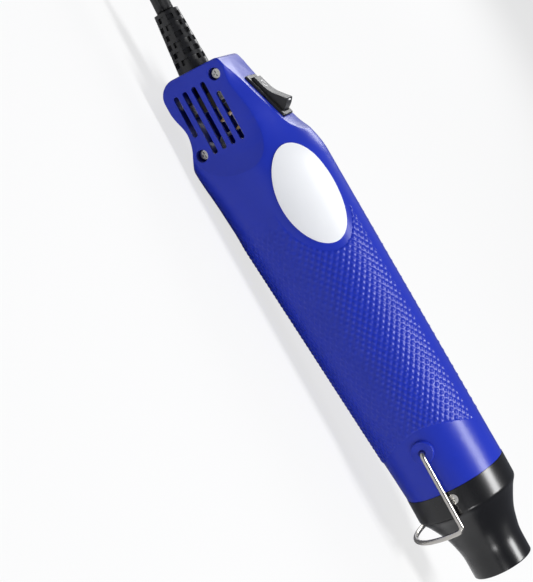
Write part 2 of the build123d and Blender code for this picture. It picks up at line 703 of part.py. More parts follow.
def slot_cutters(side):
    """Air slots with round ends through one cheek."""
    cutters = []
    deep = BELLY_HALF_WIDTH + OVERRUN
    for place in range(SLOT_COUNT):
        start = SLOT_START + (SLOT_FIRST_CUT if place == 0 else 0)
        end = SLOT_END - (SLOT_LAST_CUT if place == SLOT_COUNT - 1 else 0)
        outline = SlotOverall(end - start, SLOT_WIDTH)
        top = SLOT_TOP_Z + (FAR_SLOT_RISE if side > 0 else 0)
        plane = side_plane((start + end) / 2, side * SLOT_DEPTH_Y, top - place * SLOT_PITCH)
        cutters.append(extrude(plane * outline, side * (deep - SLOT_DEPTH_Y)))
    return cutters


def shell(side, form, cavity):
    """One half of the body; side is -1 for the near half and 1 for the far half."""
    far = BELLY_HALF_WIDTH + OVERRUN
    skin = form + rod_x(NECK_RADIUS, CAVITY_END, NECK_END)
    skin -= cavity
    ring = rod_y(BAIL_BOSS_RADIUS, BAIL_X, BAIL_Z, side * BAIL_INNER_BOSS_Y, side * BAIL_BOSS_Y)
    rim = [edge for edge in ring.edges() if edge.is_closed and abs(edge.center().Y) > FRONT_RADIUS]
    ring = fillet(rim, BAIL_BOSS_ROUND)
    half = skin + [feature & form for feature in shell_features(side)]
    half += ring - rod_x(NECK_BORE, BAIL_X - OVERRUN, BAIL_X + OVERRUN)
    half &= block(-2 * OVERRUN, NECK_END + OVERRUN, min(0, side * far), max(0, side * far),
                  -2 * BELLY_HALF_HEIGHT, 2 * BELLY_HALF_HEIGHT)
    half -= slot_cutters(side)
    half -= rod_y(BAIL_HOLE_RADIUS, BAIL_X, BAIL_Z, 0, side * far)
    half -= rod_y(BAIL_MOUTH_RADIUS, BAIL_X, BAIL_Z, side * (BAIL_BOSS_Y - BAIL_MOUTH_DEPTH), side * far)
    for x, z in SHELL_SCREW_PLACES:
        if side < 0:
            half -= rod_y(SCREW_HOLE, x, z, 0, -far)
            half -= rod_y(COUNTERBORE_RADIUS, x, z, -SCREW_SEAT_Y, -far)
        else:
            half -= rod_y(SCREW_PILOT, x, z, 0, PILOT_END_Y)
    half -= rod_y(SCREW_PILOT, COLLAR_SCREW_X, 0, 0, side * far)
    gap = SWITCH_HOLE_GAP
    length, width = SWITCH_LENGTH / 2 + gap, SWITCH_WIDTH / 2 + gap
    half -= strip_piece(block(-length, length, -width, width, -SWITCH_DEPTH - OVERRUN, OVERRUN))
    half -= tail_piece(rod_x(RELIEF_HOLE_RADIUS, -OVERRUN, OVERRUN))
    if side > 0:
        for offset in (-CLAMP_SCREW_OFFSET, CLAMP_SCREW_OFFSET):
            half -= rod_y(CLAMP_SCREW_PILOT, CLAMP_X, clamp_height() + offset, 0, CLAMP_SCREW_TIP + gap)
    return half


outer = soft_form()
REST_DROP = -outer.bounding_box().min.Z
inner = body_form(SHELL_WALL)
hollow = inner & block(-OVERRUN, CAVITY_END, -2 * BELLY_HALF_WIDTH, 2 * BELLY_HALF_WIDTH,
                       -2 * BELLY_HALF_HEIGHT, 2 * BELLY_HALF_HEIGHT)
hollow += rod_x(NECK_BORE, CAVITY_END - OVERRUN, NECK_END + OVERRUN)
print(f"rest drop {REST_DROP:.5f}, frame x {FRAME_X:.5f}")
save(shell(-1, outer, hollow), "near_shell")
save(shell(1, outer, hollow), "far_shell")

# Shell screws
shell_screw = screw(SCREW_HEAD_RADIUS, SCREW_HEAD_HEIGHT, SCREW_RADIUS,
                    SCREW_SEAT_Y + SCREW_TIP_Y, -SCREW_SEAT_Y)
save(group([Pos(x, 0, z) * shell_screw for x, z in SHELL_SCREW_PLACES]), "shell_screws")

# Label plate: a thin oval that follows the barrel
prism = extrude(Ellipse(LABEL_HALF_LENGTH, LABEL_HALF_WIDTH), 2 * BELLY_HALF_WIDTH)
prism = Pos(LABEL_X, 0, -LABEL_DROP) * Rot(90 - LABEL_ANGLE, 0, 0) * prism
save((body_blank(-LABEL_THICKNESS) - body_blank(0)) & prism, "label_plate")


# Nozzle
def nozzle():
    """Turned nozzle with its collar, screw seats and side grooves."""
    tip = (NOZZLE_TIP_START, NOZZLE_TIP_RADIUS)
    shoulder = (COLLAR_END, COLLAR_RADIUS)
    waist = [(COLLAR_END + way * FLARE_LENGTH, COLLAR_RADIUS + fall * (NOZZLE_TIP_RADIUS - COLLAR_RADIUS))
             for way, fall in FLARE_SHARES]
    flare = Spline([shoulder, *waist, tip], tangents=[(1, 0), (1, 0)])
    lip = (NOZZLE_LIP_X, NOZZLE_TIP_RADIUS)
    lip_top = (NOZZLE_END, (NOZZLE_TIP_RADIUS + OUTLET_RADIUS) / 2)
    lip_in = (NOZZLE_LIP_X, OUTLET_RADIUS)
    inner_end = (SOCKET_START, SOCKET_BORE)
    throat = [(COLLAR_BORE_END + way * (SOCKET_START - COLLAR_BORE_END),
               THROAT_RADIUS + fall * (SOCKET_BORE - THROAT_RADIUS)) for way, fall in THROAT_SHARES]
    inside = Spline([inner_end, *reversed(throat)], tangents=[(-1, 0), (-1, 0)])
    mouth = Polyline([lip_in, (OUTLET_START, OUTLET_RADIUS), (OUTLET_START, SOCKET_BORE), inner_end])
    collar = Polyline([throat[0], (COLLAR_BORE_END, COLLAR_BORE), (COLLAR_START, COLLAR_BORE),
                       (COLLAR_START, COLLAR_RADIUS), shoulder])
    edges = [flare, Line(tip, lip), ThreePointArc(lip, lip_top, lip_in), mouth, inside, collar]
    outline = make_face([piece for edge in edges for piece in edge.edges()])
    body = revolve(Plane.XZ * outline, Axis.X)
    far = COLLAR_RADIUS + OVERRUN
    half = COLLAR_GROOVE_WIDTH / 2
    for side in (-1, 1):
        body -= rod_y(COUNTERBORE_RADIUS, COLLAR_SCREW_X, 0, side * COLLAR_SEAT_RADIUS, side * far)
        body -= rod_y(SCREW_HOLE, COLLAR_SCREW_X, 0, 0, side * far)
        low, high = sorted((side * (COLLAR_RADIUS - COLLAR_GROOVE_DEPTH), side * far))
        body -= block(COLLAR_END - COLLAR_GROOVE_BACK, COLLAR_END + COLLAR_GROOVE_FRONT, low, high,
                      -half, half)
    return body


save(nozzle(), "nozzle")
collar_screw = screw(COLLAR_HEAD_RADIUS, COLLAR_HEAD_HEIGHT, SCREW_RADIUS,
                     COLLAR_SCREW_LENGTH, -COLLAR_SEAT_RADIUS)
save(group(both_sides(Pos(COLLAR_SCREW_X, 0, 0) * collar_screw)), "nozzle_screws")

# Heater tube, sleeve and spacer
pipe = rod_x(TUBE_RADIUS, TUBE_START, TUBE_END) - rod_x(TUBE_BORE, TUBE_START, TUBE_END)
for side in (-1, 1):
    hole = Pos(LEAD_END_X, side * LEAD_Y, 0) * Cylinder(LEAD_HOLE_RADIUS, 2 * TUBE_RADIUS)
    pipe -= Pos(0, 0, -TUBE_RADIUS) * hole
save(pipe, "heater_tube")
sleeve = rod_x(SLEEVE_RADIUS, SLEEVE_START, SLEEVE_END) - rod_x(SLEEVE_BORE, SLEEVE_START, SLEEVE_END)
save(sleeve, "mica_sleeve")
spacer = rod_x(SPACER_RADIUS, SPACER_START, SPACER_END) - rod_x(SPACER_BORE, SPACER_START, SPACER_END)
save(spacer, "tube_spacer")

# Crossed mica plates: wide ends that locate in the tube, narrow middle for the coil
half = MICA_THICKNESS / 2
ends = [(MICA_START, MICA_START + MICA_END_LENGTH), (MICA_END - MICA_END_LENGTH, MICA_END)]
former = block(MICA_START, MICA_END, -half, half, -MICA_WAIST, MICA_WAIST)
former += block(MICA_START, MICA_END, -MICA_WAIST, MICA_WAIST, -half, half)
for start, end in ends:
    former += block(start, end, -half, half, -MICA_HALF_WIDTH, MICA_HALF_WIDTH)
    former += block(start, end, -MICA_HALF_WIDTH, MICA_HALF_WIDTH, -half, half)
save(former, "mica_former")

# Heater coil: start tail, winding, and the return wire inside it
tail_z = -math.sqrt(COIL_RADIUS ** 2 - LEAD_Y ** 2)
start_angle = math.degrees(math.atan2(tail_z, LEAD_Y))
part_turn = ((COIL_END_ANGLE - start_angle) % 360) / 360
pitch = (COIL_END - COIL_START) / (COIL_TURNS + part_turn)
helix = Helix(pitch, COIL_END - COIL_START, COIL_RADIUS, center=(COIL_START, 0, 0), direction=(1, 0, 0))
first = helix @ 0
turn = start_angle - math.degrees(math.atan2(first.Z, first.Y))
helix = Pos(COIL_START, 0, 0) * Rot(turn, 0, 0) * Pos(-COIL_START, 0, 0) * helix
wire = Plane(origin=helix @ 0, z_dir=helix % 0) * Circle(COIL_WIRE_RADIUS)
winding = sweep(wire, path=helix, is_frenet=True)
tail_start = LEAD_END_X + LEAD_RADIUS + DUCT_GAP
last = helix @ 1
back = (last.X, -RETURN_OFFSET, -RETURN_OFFSET)
tail = tube([(tail_start, (helix @ 0).Y, (helix @ 0).Z), tuple(helix @ 0)], None, COIL_WIRE_RADIUS)
inward = tube([tuple(last), back], None, COIL_WIRE_RADIUS)
home = tube([back, (CUTOUT_END, -RETURN_OFFSET, -RETURN_OFFSET)], None, COIL_WIRE_RADIUS)
knots = [Pos(*place) * Sphere(COIL_WIRE_RADIUS) for place in (tuple(helix @ 0), tuple(last), back)]
save(winding + [tail, inward, home, *knots], "heater_coil")

# Thermal cut-out in the air stream, with its own short wire
cutout = rod_x(CUTOUT_RADIUS, CUTOUT_START, CUTOUT_END, -RETURN_OFFSET, -RETURN_OFFSET)
cutout += rod_x(COIL_WIRE_RADIUS, tail_start, CUTOUT_START, -RETURN_OFFSET, -RETURN_OFFSET)
save(cutout, "thermal_cutout")

# Grille that keeps fingers off the heater
ring = rod_x(GRILLE_RADIUS, GRILLE_START, GRILLE_END)
ring -= rod_x(GRILLE_RADIUS - GRILLE_RING, GRILLE_START, GRILLE_END)
bars = []
disc = rod_x(GRILLE_RADIUS - GRILLE_RING / 2, GRILLE_START, GRILLE_END)
for step in GRILLE_STEPS:
    low, high = step * GRILLE_PITCH - GRILLE_BAR / 2, step * GRILLE_PITCH + GRILLE_BAR / 2
    bars.append(disc & block(GRILLE_START, GRILLE_END, low, high, -GRILLE_RADIUS, GRILLE_RADIUS))
save(ring + bars, "outlet_grille")

# Motor
save(turned([(CAN_START, CAN_BORE), (CAN_START, CAN_RADIUS), (CAN_END, CAN_RADIUS), (CAN_END, BEARING_RADIUS),
             (BEARING_END, BEARING_RADIUS), (BEARING_END, BEARING_BORE), (CAN_FACE, BEARING_BORE),
             (CAN_FACE, CAN_BORE)]), "motor_can")
cap = turned([(CAP_BEARING_START, BEARING_BORE), (CAP_BEARING_START, BEARING_RADIUS),
              (CAP_START, BEARING_RADIUS), (CAP_START, CAN_RADIUS), (CAN_START, CAN_RADIUS),
              (CAN_START, CAP_SPIGOT_RADIUS), (CAP_SPIGOT_END, CAP_SPIGOT_RADIUS),
              (CAP_SPIGOT_END, CAP_SPIGOT_BORE), (CAN_START, CAP_SPIGOT_BORE), (CAN_START, BEARING_BORE)])
half_tab, half_width = MOTOR_TAB_THICKNESS / 2, MOTOR_TAB_WIDTH / 2
tabs = [block(MOTOR_TAB_START, CAN_START, place - half_tab, place + half_tab, -half_width, half_width)
        for place in (-MOTOR_TAB_Y, MOTOR_TAB_Y)]
save(cap - tabs, "motor_end_cap")
save(group(tabs), "motor_terminals")
magnet = rod_x(MAGNET_RADIUS, MAGNET_START, MAGNET_END) - rod_x(MAGNET_BORE, MAGNET_START, MAGNET_END)
magnet &= block(MAGNET_START, MAGNET_END, 0, MAGNET_RADIUS, -MAGNET_HALF_HEIGHT, MAGNET_HALF_HEIGHT)
save(group(both_sides(magnet)), "motor_magnets")
half = BRUSH_HALF_WIDTH
brush = block(BRUSH_START, BRUSH_END, COMMUTATOR_RADIUS + BRUSH_GAP, BRUSH_TOP, -half, half)
brush += block(CAN_START, BRUSH_END, BRUSH_TOP, BRUSH_TOP + BRUSH_ARM, -half, half)
save(group(both_sides(brush)), "motor_brushes")

# Rotor: shaft, laminated core, windings and commutator
shaft = rod_x(SHAFT_RADIUS, SHAFT_START, SHAFT_END)
save(shaft, "motor_shaft")
core = rod_x(CORE_RADIUS, CORE_START, CORE_END) - rod_x(SHAFT_RADIUS, CORE_START, CORE_END)
for turn in THIRDS:
    pocket = rod_x(POLE_POCKET_RADIUS, CORE_START, CORE_END, POLE_POCKET_PLACE, 0)
    opening = block(CORE_START, CORE_END, POLE_POCKET_PLACE, CORE_RADIUS + OVERRUN,
                    -POLE_SLOT_WIDTH / 2, POLE_SLOT_WIDTH / 2)
    core -= Rot(turn, 0, 0) * (pocket + opening)
save(core, "armature_core")
front, rear = CORE_START - WINDING_OVERHANG, CORE_END + WINDING_OVERHANG
coils = rod_x(WINDING_END_RADIUS, front, CORE_START) + rod_x(WINDING_END_RADIUS, CORE_END, rear)
for turn in THIRDS:
    coils += Rot(turn, 0, 0) * rod_x(WINDING_RADIUS, front, rear, POLE_POCKET_PLACE, 0)
save(coils - rod_x(WINDING_END_BORE, front, rear), "armature_windings")
ring = rod_x(COMMUTATOR_RADIUS, COMMUTATOR_START, COMMUTATOR_END)
ring -= rod_x(SHAFT_RADIUS, COMMUTATOR_START, COMMUTATOR_END)
for turn in THIRDS:
    cut = block(COMMUTATOR_START, COMMUTATOR_END - COMMUTATOR_GAP, COMMUTATOR_RADIUS - COMMUTATOR_GAP,
                COMMUTATOR_RADIUS + OVERRUN, -COMMUTATOR_GAP / 2, COMMUTATOR_GAP / 2)
    ring -= Rot(turn, 0, 0) * cut
save(ring, "commutator")

# Rectifier board with its four diodes
board = rod_x(BOARD_RADIUS, BOARD_START, BOARD_END) - tabs
diodes = []
places = [(side * DIODE_Y, z) for z in (DIODE_TOP_Z, DIODE_BASE_Z) for side in (-1, 1)]
for y, z in places:
    diode = rod_x(DIODE_RADIUS, BOARD_START - DIODE_LENGTH, BOARD_START, y, z)
    leg = rod_x(DIODE_WIRE_RADIUS, BOARD_START, BOARD_END, y, z)
    diodes.append(diode + leg)
    board -= leg
save(board, "rectifier_board")
save(group(diodes), "bridge_diodes")

# Fan wheel
wheel = rod_x(FAN_HUB_RADIUS, FAN_START, FAN_END)
middle = (FAN_START + FAN_END) / 2
blade = Box(FAN_BLADE_CHORD, FAN_RADIUS, FAN_BLADE_THICKNESS)
blade = Pos(middle, (FAN_HUB_RADIUS + FAN_RADIUS) / 2, 0) * Rot(0, FAN_BLADE_PITCH, 0) * blade
disc = rod_x(FAN_RADIUS, FAN_START, FAN_END)
blade &= disc
for place in range(FAN_BLADES):
    wheel += Rot(place * 360 / FAN_BLADES, 0, 0) * blade
save(wheel - shaft, "fan_wheel")

# Fan duct: plate across the body, shroud, cone and socket for the heater tube
plate = body_blank(SHELL_WALL + DUCT_GAP) & block(DUCT_START, DUCT_PLATE_END, -2 * BELLY_HALF_WIDTH,
                                                  2 * BELLY_HALF_WIDTH, -2 * BELLY_HALF_HEIGHT,
                                                  2 * BELLY_HALF_HEIGHT)
plate -= rod_x(DUCT_BORE, DUCT_START, DUCT_PLATE_END)
socket = DUCT_SOCKET_BORE + DUCT_WALL
duct = turned([(DUCT_START, DUCT_BORE), (DUCT_START, DUCT_RADIUS), (DUCT_SHROUD_END, DUCT_RADIUS),
               (DUCT_SOCKET_START, socket), (DUCT_SOCKET_END, socket),
               (DUCT_SOCKET_END, DUCT_SOCKET_BORE), (DUCT_SOCKET_START, DUCT_SOCKET_BORE),
               (DUCT_SHROUD_END, DUCT_BORE)])
duct += plate
for side in (-1, 1):
    duct -= rod_x(LEAD_HOLE_RADIUS, DUCT_START, DUCT_PLATE_END, side * LEAD_Y, LEAD_RUN_Z)
save(duct, "fan_duct")

# Heater leads
leads = []
for side, end_z in ((-1, -RETURN_OFFSET + LEAD_REACH), (1, tail_z + LEAD_REACH)):
    points = [(LEAD_START_X, side * LEAD_Y, LEAD_START_Z), (LEAD_START_X, side * LEAD_Y, LEAD_RUN_Z),
              (LEAD_END_X, side * LEAD_Y, LEAD_RUN_Z), (LEAD_END_X, side * LEAD_Y, end_z)]
    leads.append(tube(points, LEAD_BEND, LEAD_RADIUS))
save(group(leads), "heater_leads")

# Switch housing with its bezel
bezel = Pos(0, 0, BEZEL_HEIGHT / 2) * Box(BEZEL_LENGTH, BEZEL_WIDTH, BEZEL_HEIGHT)
bezel = fillet(bezel.edges().filter_by(Axis.Z), BEZEL_CORNER)
bezel = fillet(bezel.faces().sort_by(Axis.Z)[-1].edges(), BEZEL_HEIGHT * HALF)
housing = bezel + Pos(0, 0, -SWITCH_DEPTH / 2) * Box(SWITCH_LENGTH, SWITCH_WIDTH, SWITCH_DEPTH)
well_depth = SWITCH_WELL_DEPTH + BEZEL_HEIGHT
housing -= Pos(0, 0, BEZEL_HEIGHT - well_depth / 2) * Box(SWITCH_WELL_LENGTH, SWITCH_WELL_WIDTH, well_depth)
housing -= rod_y(ROCKER_PIN_BORE, 0, ROCKER_PIVOT_Z, -SWITCH_WIDTH, SWITCH_WIDTH)
terminals = []
for place in (-TERMINAL_PITCH, 0, TERMINAL_PITCH):
    half = TERMINAL_THICKNESS / 2
    terminals.append(block(place - half, place + half, -TERMINAL_WIDTH / 2, TERMINAL_WIDTH / 2,
                           -TERMINAL_END, TERMINAL_EMBED - SWITCH_DEPTH))
housing -= terminals
save(strip_piece(housing), "switch_housing")
save(group([strip_piece(terminal) for terminal in terminals]), "switch_terminals")

# Rocker: two slopes that meet in a rounded valley, inside a cylinder about its pivot
half = ROCKER_RADIUS + OVERRUN
rise = half * math.tan(math.radians(ROCKER_TILT))
corners = [(-half, ROCKER_CENTRE_Z + rise), (0, ROCKER_CENTRE_Z), (half, ROCKER_CENTRE_Z + rise)]
valley = FilletPolyline(corners, radius=ROCKER_VALLEY_RADIUS)
under = Polyline([corners[-1], (half, ROCKER_BASE_Z), (-half, ROCKER_BASE_Z), corners[0]])
outline = make_face([*valley.edges(), *under.edges()])
rocker = extrude(Plane.XZ * outline, ROCKER_WIDTH / 2, both=True)
rocker &= rod_y(ROCKER_RADIUS, 0, ROCKER_PIVOT_Z, -ROCKER_WIDTH / 2, ROCKER_WIDTH / 2)
rocker += rod_y(ROCKER_PIN_RADIUS, 0, ROCKER_PIVOT_Z, -ROCKER_PIN_END, ROCKER_PIN_END)
rocker = Pos(0, 0, ROCKER_PIVOT_Z) * Rot(0, -ROCKER_TILT, 0) * Pos(0, 0, -ROCKER_PIVOT_Z) * rocker
save(strip_piece(rocker), "switch_rocker")


# Cord
def cord_section(origin, direction):
    """Two round cores side by side, one above the other."""
    offset = CORD_CORE_OFFSET
    shape = Pos(0, offset) * Circle(CORD_CORE_RADIUS) + Pos(0, -offset) * Circle(CORD_CORE_RADIUS)
    return Plane(origin=origin, x_dir=(0, 1, 0), z_dir=direction) * shape


def check_length(name, path, solid):
    """Print a swept cord's volume beside its section times its length."""
    expected = cord_section((0, 0, 0), (-1, 0, 0)).area * path.length
    print(f"{name}: length {path.length:.1f}, volume {solid.volume:.0f}, section x length {expected:.0f}")


# Strain relief: a tapered sleeve with rows of shallow cells, each row turned half a cell
def sleeve_form(end_depth, root_depth):
    """Tapered round form of the strain relief, its surface moved in by a depth at each end."""
    return turned([(-RELIEF_LENGTH, 0), (-RELIEF_LENGTH, RELIEF_END_RADIUS - end_depth),
                   (0, RELIEF_ROOT_RADIUS - root_depth), (0, 0)])


relief = sleeve_form(0, 0)
floors = sleeve_form(RELIEF_CELL_DEPTH, RELIEF_ROOT_CELL_DEPTH)
spacing = (RELIEF_LENGTH - RELIEF_FOOT) / RELIEF_RINGS
half = RELIEF_RIB_WIDTH / 2
bar = block(-RELIEF_LENGTH, 0, -half, half, 0, RELIEF_ROOT_RADIUS + OVERRUN)
for place in range(RELIEF_RINGS):
    ring_end = place * spacing + RELIEF_RING_LENGTH - RELIEF_LENGTH
    row_end = (place + 1) * spacing - RELIEF_LENGTH
    cells = rod_x(RELIEF_ROOT_RADIUS + OVERRUN, ring_end, row_end) - floors
    for rib in range(RELIEF_RIBS):
        cells -= Rot((rib + HALF * (place % 2)) * 360 / RELIEF_RIBS, 0, 0) * bar
    relief -= cells
relief += rod_x(RELIEF_NECK_RADIUS, 0, SHELL_WALL + RELIEF_INNER_LENGTH)
relief += rod_x(RELIEF_ROOT_RADIUS, SHELL_WALL + CORD_GAP, SHELL_WALL + RELIEF_INNER_LENGTH)
path = Line((CORD_INNER_END, 0, 0), (-RELIEF_LENGTH, 0, 0))
core = sweep(cord_section(path @ 0, path % 0), path=path)
bore = extrude(cord_section((OVERRUN, 0, 0), (-1, 0, 0)), RELIEF_LENGTH + 2 * OVERRUN)
save(tail_piece(relief - bore), "strain_relief")
save(tail_piece(core), "inner_cord")

# Clamp bar and its screws
centre = clamp_height()
bar = block(CLAMP_X - CLAMP_HALF_LENGTH, CLAMP_X + CLAMP_HALF_LENGTH, -CORD_CORE_RADIUS - CLAMP_THICKNESS,
            -CORD_CORE_RADIUS, centre - CLAMP_HALF_HEIGHT, centre + CLAMP_HALF_HEIGHT)
clamp_screw = screw(CLAMP_HEAD_RADIUS, COLLAR_HEAD_HEIGHT, CLAMP_SCREW_RADIUS,
                    CORD_CORE_RADIUS + CLAMP_THICKNESS + CLAMP_SCREW_TIP, -CORD_CORE_RADIUS - CLAMP_THICKNESS)
clamp_screws = []
for offset in (-CLAMP_SCREW_OFFSET, CLAMP_SCREW_OFFSET):
    bar -= rod_y(CLAMP_SCREW_HOLE, CLAMP_X, centre + offset, -OVERRUN, OVERRUN)
    clamp_screws.append(Pos(CLAMP_X, 0, centre + offset) * clamp_screw)
save(bar, "cord_clamp")
save(group(clamp_screws), "clamp_screws")

# Supply leads inside the tail: live to the switch, neutral and switched live to the board
upper = spot(tail_piece, CORD_INNER_END + CORD_GAP, 0, CORD_CORE_OFFSET)
lower = spot(tail_piece, CORD_INNER_END + CORD_GAP, 0, -CORD_CORE_OFFSET)
joint = spot(strip_piece, -TERMINAL_PITCH, 0, TERMINAL_GRIP - TERMINAL_END)
live = tube([tuple(upper), tuple(joint)], None, SUPPLY_RADIUS) - [strip_piece(tab) for tab in terminals]
lead_end = BOARD_START - SUPPLY_GAP
neutral = tube([tuple(lower), (NEUTRAL_RISE_X, 0, lower.Z), (NEUTRAL_RISE_X, 0, NEUTRAL_TOP_Z),
                (lead_end, 0, NEUTRAL_TOP_Z)], SUPPLY_BEND, SUPPLY_RADIUS)
beside = -TERMINAL_WIDTH / 2 - SUPPLY_RADIUS - SUPPLY_GAP
joint = spot(strip_piece, 0, beside, TERMINAL_GRIP - TERMINAL_END)
switched = tube([tuple(joint), (joint.X, beside, SWITCHED_BASE_Z), (SWITCHED_RISE_X, beside, SWITCHED_BASE_Z),
                 (SWITCHED_RISE_X, beside, SWITCHED_TOP_Z), (lead_end, beside, SWITCHED_TOP_Z)],
                SUPPLY_BEND, SUPPLY_RADIUS)
save(group([live, neutral, switched]), "supply_leads")

def ease(start, start_way, end, end_way):
    """Curve between two points that leaves and arrives along the given directions."""
    pull = abs(end.X - start.X) / 2
    return Edge.make_bezier(start, start + start_way * pull, end - end_way * pull, end)


# Free stretch of cord
relief_end = spot(tail_piece, -RELIEF_LENGTH, 0, 0)
lead_end = spot(tail_piece, -RELIEF_LENGTH - FREE_LEAD, 0, 0)
backward = Vector(-1, 0, 0)
floor = -REST_DROP
landing = Vector(lead_end.X - FREE_RUN, HANK_SIDE - HANK_RADIUS, floor + CORD_FLOOR_HEIGHT)
path = Wire([Edge.make_line(relief_end, lead_end),
             ease(lead_end, (lead_end - relief_end).normalized(), landing, backward)])
free_cord = sweep(cord_section(path @ 0, path % 0), path=path)
check_length("power_cord", path, free_cord)
save(free_cord, "power_cord")


# Hank: long loops inwards on the lower layer, a climb along a straight, loops outwards above
def hank_edges(start):
    """Edges of the wound cord from the free stretch's end to the plug."""
    here = start + backward * HANK_LEAD
    edges = [Edge.make_line(start, here)]
    way = backward
    side = 1
    halves = 2 * HANK_TURNS
    for step in range(2 * halves):
        inward = step if step <= halves else 2 * halves - step
        target = here + way * HANK_STRAIGHT
        if step == halves:
            target += Vector(0, 0, HANK_LAYER)
            edges.append(ease(here, way, target, way))
        else:
            edges.append(Edge.make_line(here, target))
        here = target + Vector(0, side * (2 * HANK_RADIUS - inward * HANK_PITCH), 0)
        edges.append(Edge.make_tangent_arc(target, way, here))
        way = way * -1
        side = -side
    last = here + way * HANK_STRAIGHT
    low = Vector(last.X - HANK_EXIT_RUN, PLUG_Y, floor + PLUG_LIFT + PLUG_HEIGHT / 2)
    end = low + backward * HANK_END_RUN
    return edges + [Edge.make_line(here, last), ease(last, way, low, way), Edge.make_line(low, end)], end


def least_gap(path):
    """Least gap between turns, measured between the round cores at sampled points."""
    count = int(path.length / SAMPLE_STEP)
    up = Vector(0, 0, 1)
    cores = []
    for step in range(count + 1):
        middle, along = path @ (step / count), path % (step / count)
        up = (up - along * up.dot(along)).normalized()
        cores.append([tuple(middle + up * offset) for offset in (-CORD_CORE_OFFSET, CORD_CORE_OFFSET)])
    best = path.length
    for first in range(count):
        for second in range(first + SAMPLE_SKIP, count + 1):
            for core in cores[first]:
                best = min(best, math.dist(core, cores[second][0]), math.dist(core, cores[second][1]))
    return best - 2 * CORD_CORE_RADIUS


edges, plug_start = hank_edges(path @ 1)
path = Wire(edges)
wound = sweep(cord_section(path @ 0, path % 0), path=path)
check_length("cord_hank", path, wound)
print(f"hank: least gap {least_gap(path):.2f}, wanted {HANK_LEAST_GAP}, valid {wound.is_valid}")
save(wound, "cord_hank")

# Strap round the middle of the hank
middle = landing.X - HANK_LEAD - HANK_STRAIGHT / 2
inside_y = HANK_RADIUS + CORD_CORE_RADIUS + TIE_GAP
low_z = floor + TIE_BASE + TIE_THICKNESS
high_z = landing.Z + HANK_LAYER + CORD_CORE_OFFSET + CORD_CORE_RADIUS + TIE_GAP
band = block(middle - TIE_WIDTH / 2, middle + TIE_WIDTH / 2, -inside_y - TIE_THICKNESS,
             inside_y + TIE_THICKNESS, low_z - TIE_THICKNESS, high_z + TIE_THICKNESS)
band = fillet(band.edges().filter_by(Axis.X), TIE_THICKNESS + TIE_GAP)
band -= block(middle - OVERRUN, middle + OVERRUN, -inside_y, inside_y, low_z, high_z)
save(Pos(0, HANK_SIDE, 0) * band, "cord_tie")

# Plug and its two flat blades
plug = block(plug_start.X - PLUG_LENGTH, plug_start.X, PLUG_Y - PLUG_WIDTH / 2, PLUG_Y + PLUG_WIDTH / 2,
             floor + PLUG_LIFT, floor + PLUG_LIFT + PLUG_HEIGHT)
plug = fillet(plug.edges(), PLUG_ROUND)
blades = []
face = plug_start.X - PLUG_LENGTH
for side in (-1, 1):
    middle = PLUG_Y + side * BLADE_SPACING / 2
    blades.append(block(face - BLADE_LENGTH, face + BLADE_EMBED, middle - BLADE_THICKNESS / 2,
                        middle + BLADE_THICKNESS / 2, plug_start.Z - BLADE_HEIGHT / 2,
                        plug_start.Z + BLADE_HEIGHT / 2))
save(plug - blades, "plug")
save(group(blades), "plug_blades")


# Bail: end pins, legs, corners and the round front, one wire
def bail_wire():
    """Centre line of the bail from its near pin to its far pin."""
    corner = math.radians(BAIL_CORNER_ANGLE)
    far = []
    for side in (-1, 1):
        pin = Vector(BAIL_X, side * BAIL_END_Y, BAIL_Z)
        elbow = Vector(BAIL_X, side * BAIL_LEG_Y, BAIL_Z)
        leg_end = Vector(BAIL_ARC_X - BAIL_BEND_RADIUS, side * BAIL_LEG_Y, BAIL_Z)
        arm = FilletPolyline([tuple(pin), tuple(elbow), tuple(leg_end)], radius=BAIL_BEND_RADIUS)
        arc_start = Vector(BAIL_ARC_X, side * BAIL_LEG_Y * math.cos(corner),
                           BAIL_Z - BAIL_LEG_Y * math.sin(corner))
        drop = Vector(0, -side * math.sin(corner), -math.cos(corner))
        bend = Spline([leg_end, arc_start], tangents=[(1, 0, 0), tuple(drop)])
        far.append((arm, bend, arc_start))
    bottom = Vector(BAIL_ARC_X, 0, BAIL_Z - BAIL_LEG_Y)
    arc = ThreePointArc(far[0][2], bottom, far[1][2])
    pieces = [far[0][0], far[0][1], arc, far[1][1], far[1][0]]
    return Wire([edge for piece in pieces for edge in piece.edges()])


path = bail_wire()
start = Plane(origin=(BAIL_X, -BAIL_END_Y, BAIL_Z), z_dir=(0, -1, 0))
bail = sweep(start * Circle(BAIL_WIRE_RADIUS), path=path)
save(bail, "bail_stand")
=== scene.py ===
import math
import bmesh
import bpy
import numpy as np
from mathutils import Matrix


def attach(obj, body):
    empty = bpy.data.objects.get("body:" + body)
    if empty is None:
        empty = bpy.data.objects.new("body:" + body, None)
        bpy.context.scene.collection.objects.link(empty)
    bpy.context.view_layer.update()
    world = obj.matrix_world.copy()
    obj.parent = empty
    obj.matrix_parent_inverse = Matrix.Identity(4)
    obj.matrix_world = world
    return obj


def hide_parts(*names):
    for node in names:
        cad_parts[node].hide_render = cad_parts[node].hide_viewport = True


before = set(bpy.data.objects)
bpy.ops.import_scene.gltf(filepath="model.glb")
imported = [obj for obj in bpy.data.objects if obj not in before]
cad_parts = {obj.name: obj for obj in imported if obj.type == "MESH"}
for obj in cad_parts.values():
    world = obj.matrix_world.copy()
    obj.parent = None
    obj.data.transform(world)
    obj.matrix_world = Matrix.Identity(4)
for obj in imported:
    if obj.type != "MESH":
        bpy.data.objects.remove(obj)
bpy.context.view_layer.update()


# Studio. A pale sheet under the tool, a large soft box above it and weaker ones at its sides,
# with a long lens that looks down on the tool's near side from a little over table height.
# The camera is rolled, so that the tool stands steeply in the picture.
CAMERA_TURN = math.radians(3.91)
CAMERA_RISE = math.radians(16.60)
CAMERA_ROLL = math.radians(-297.99)
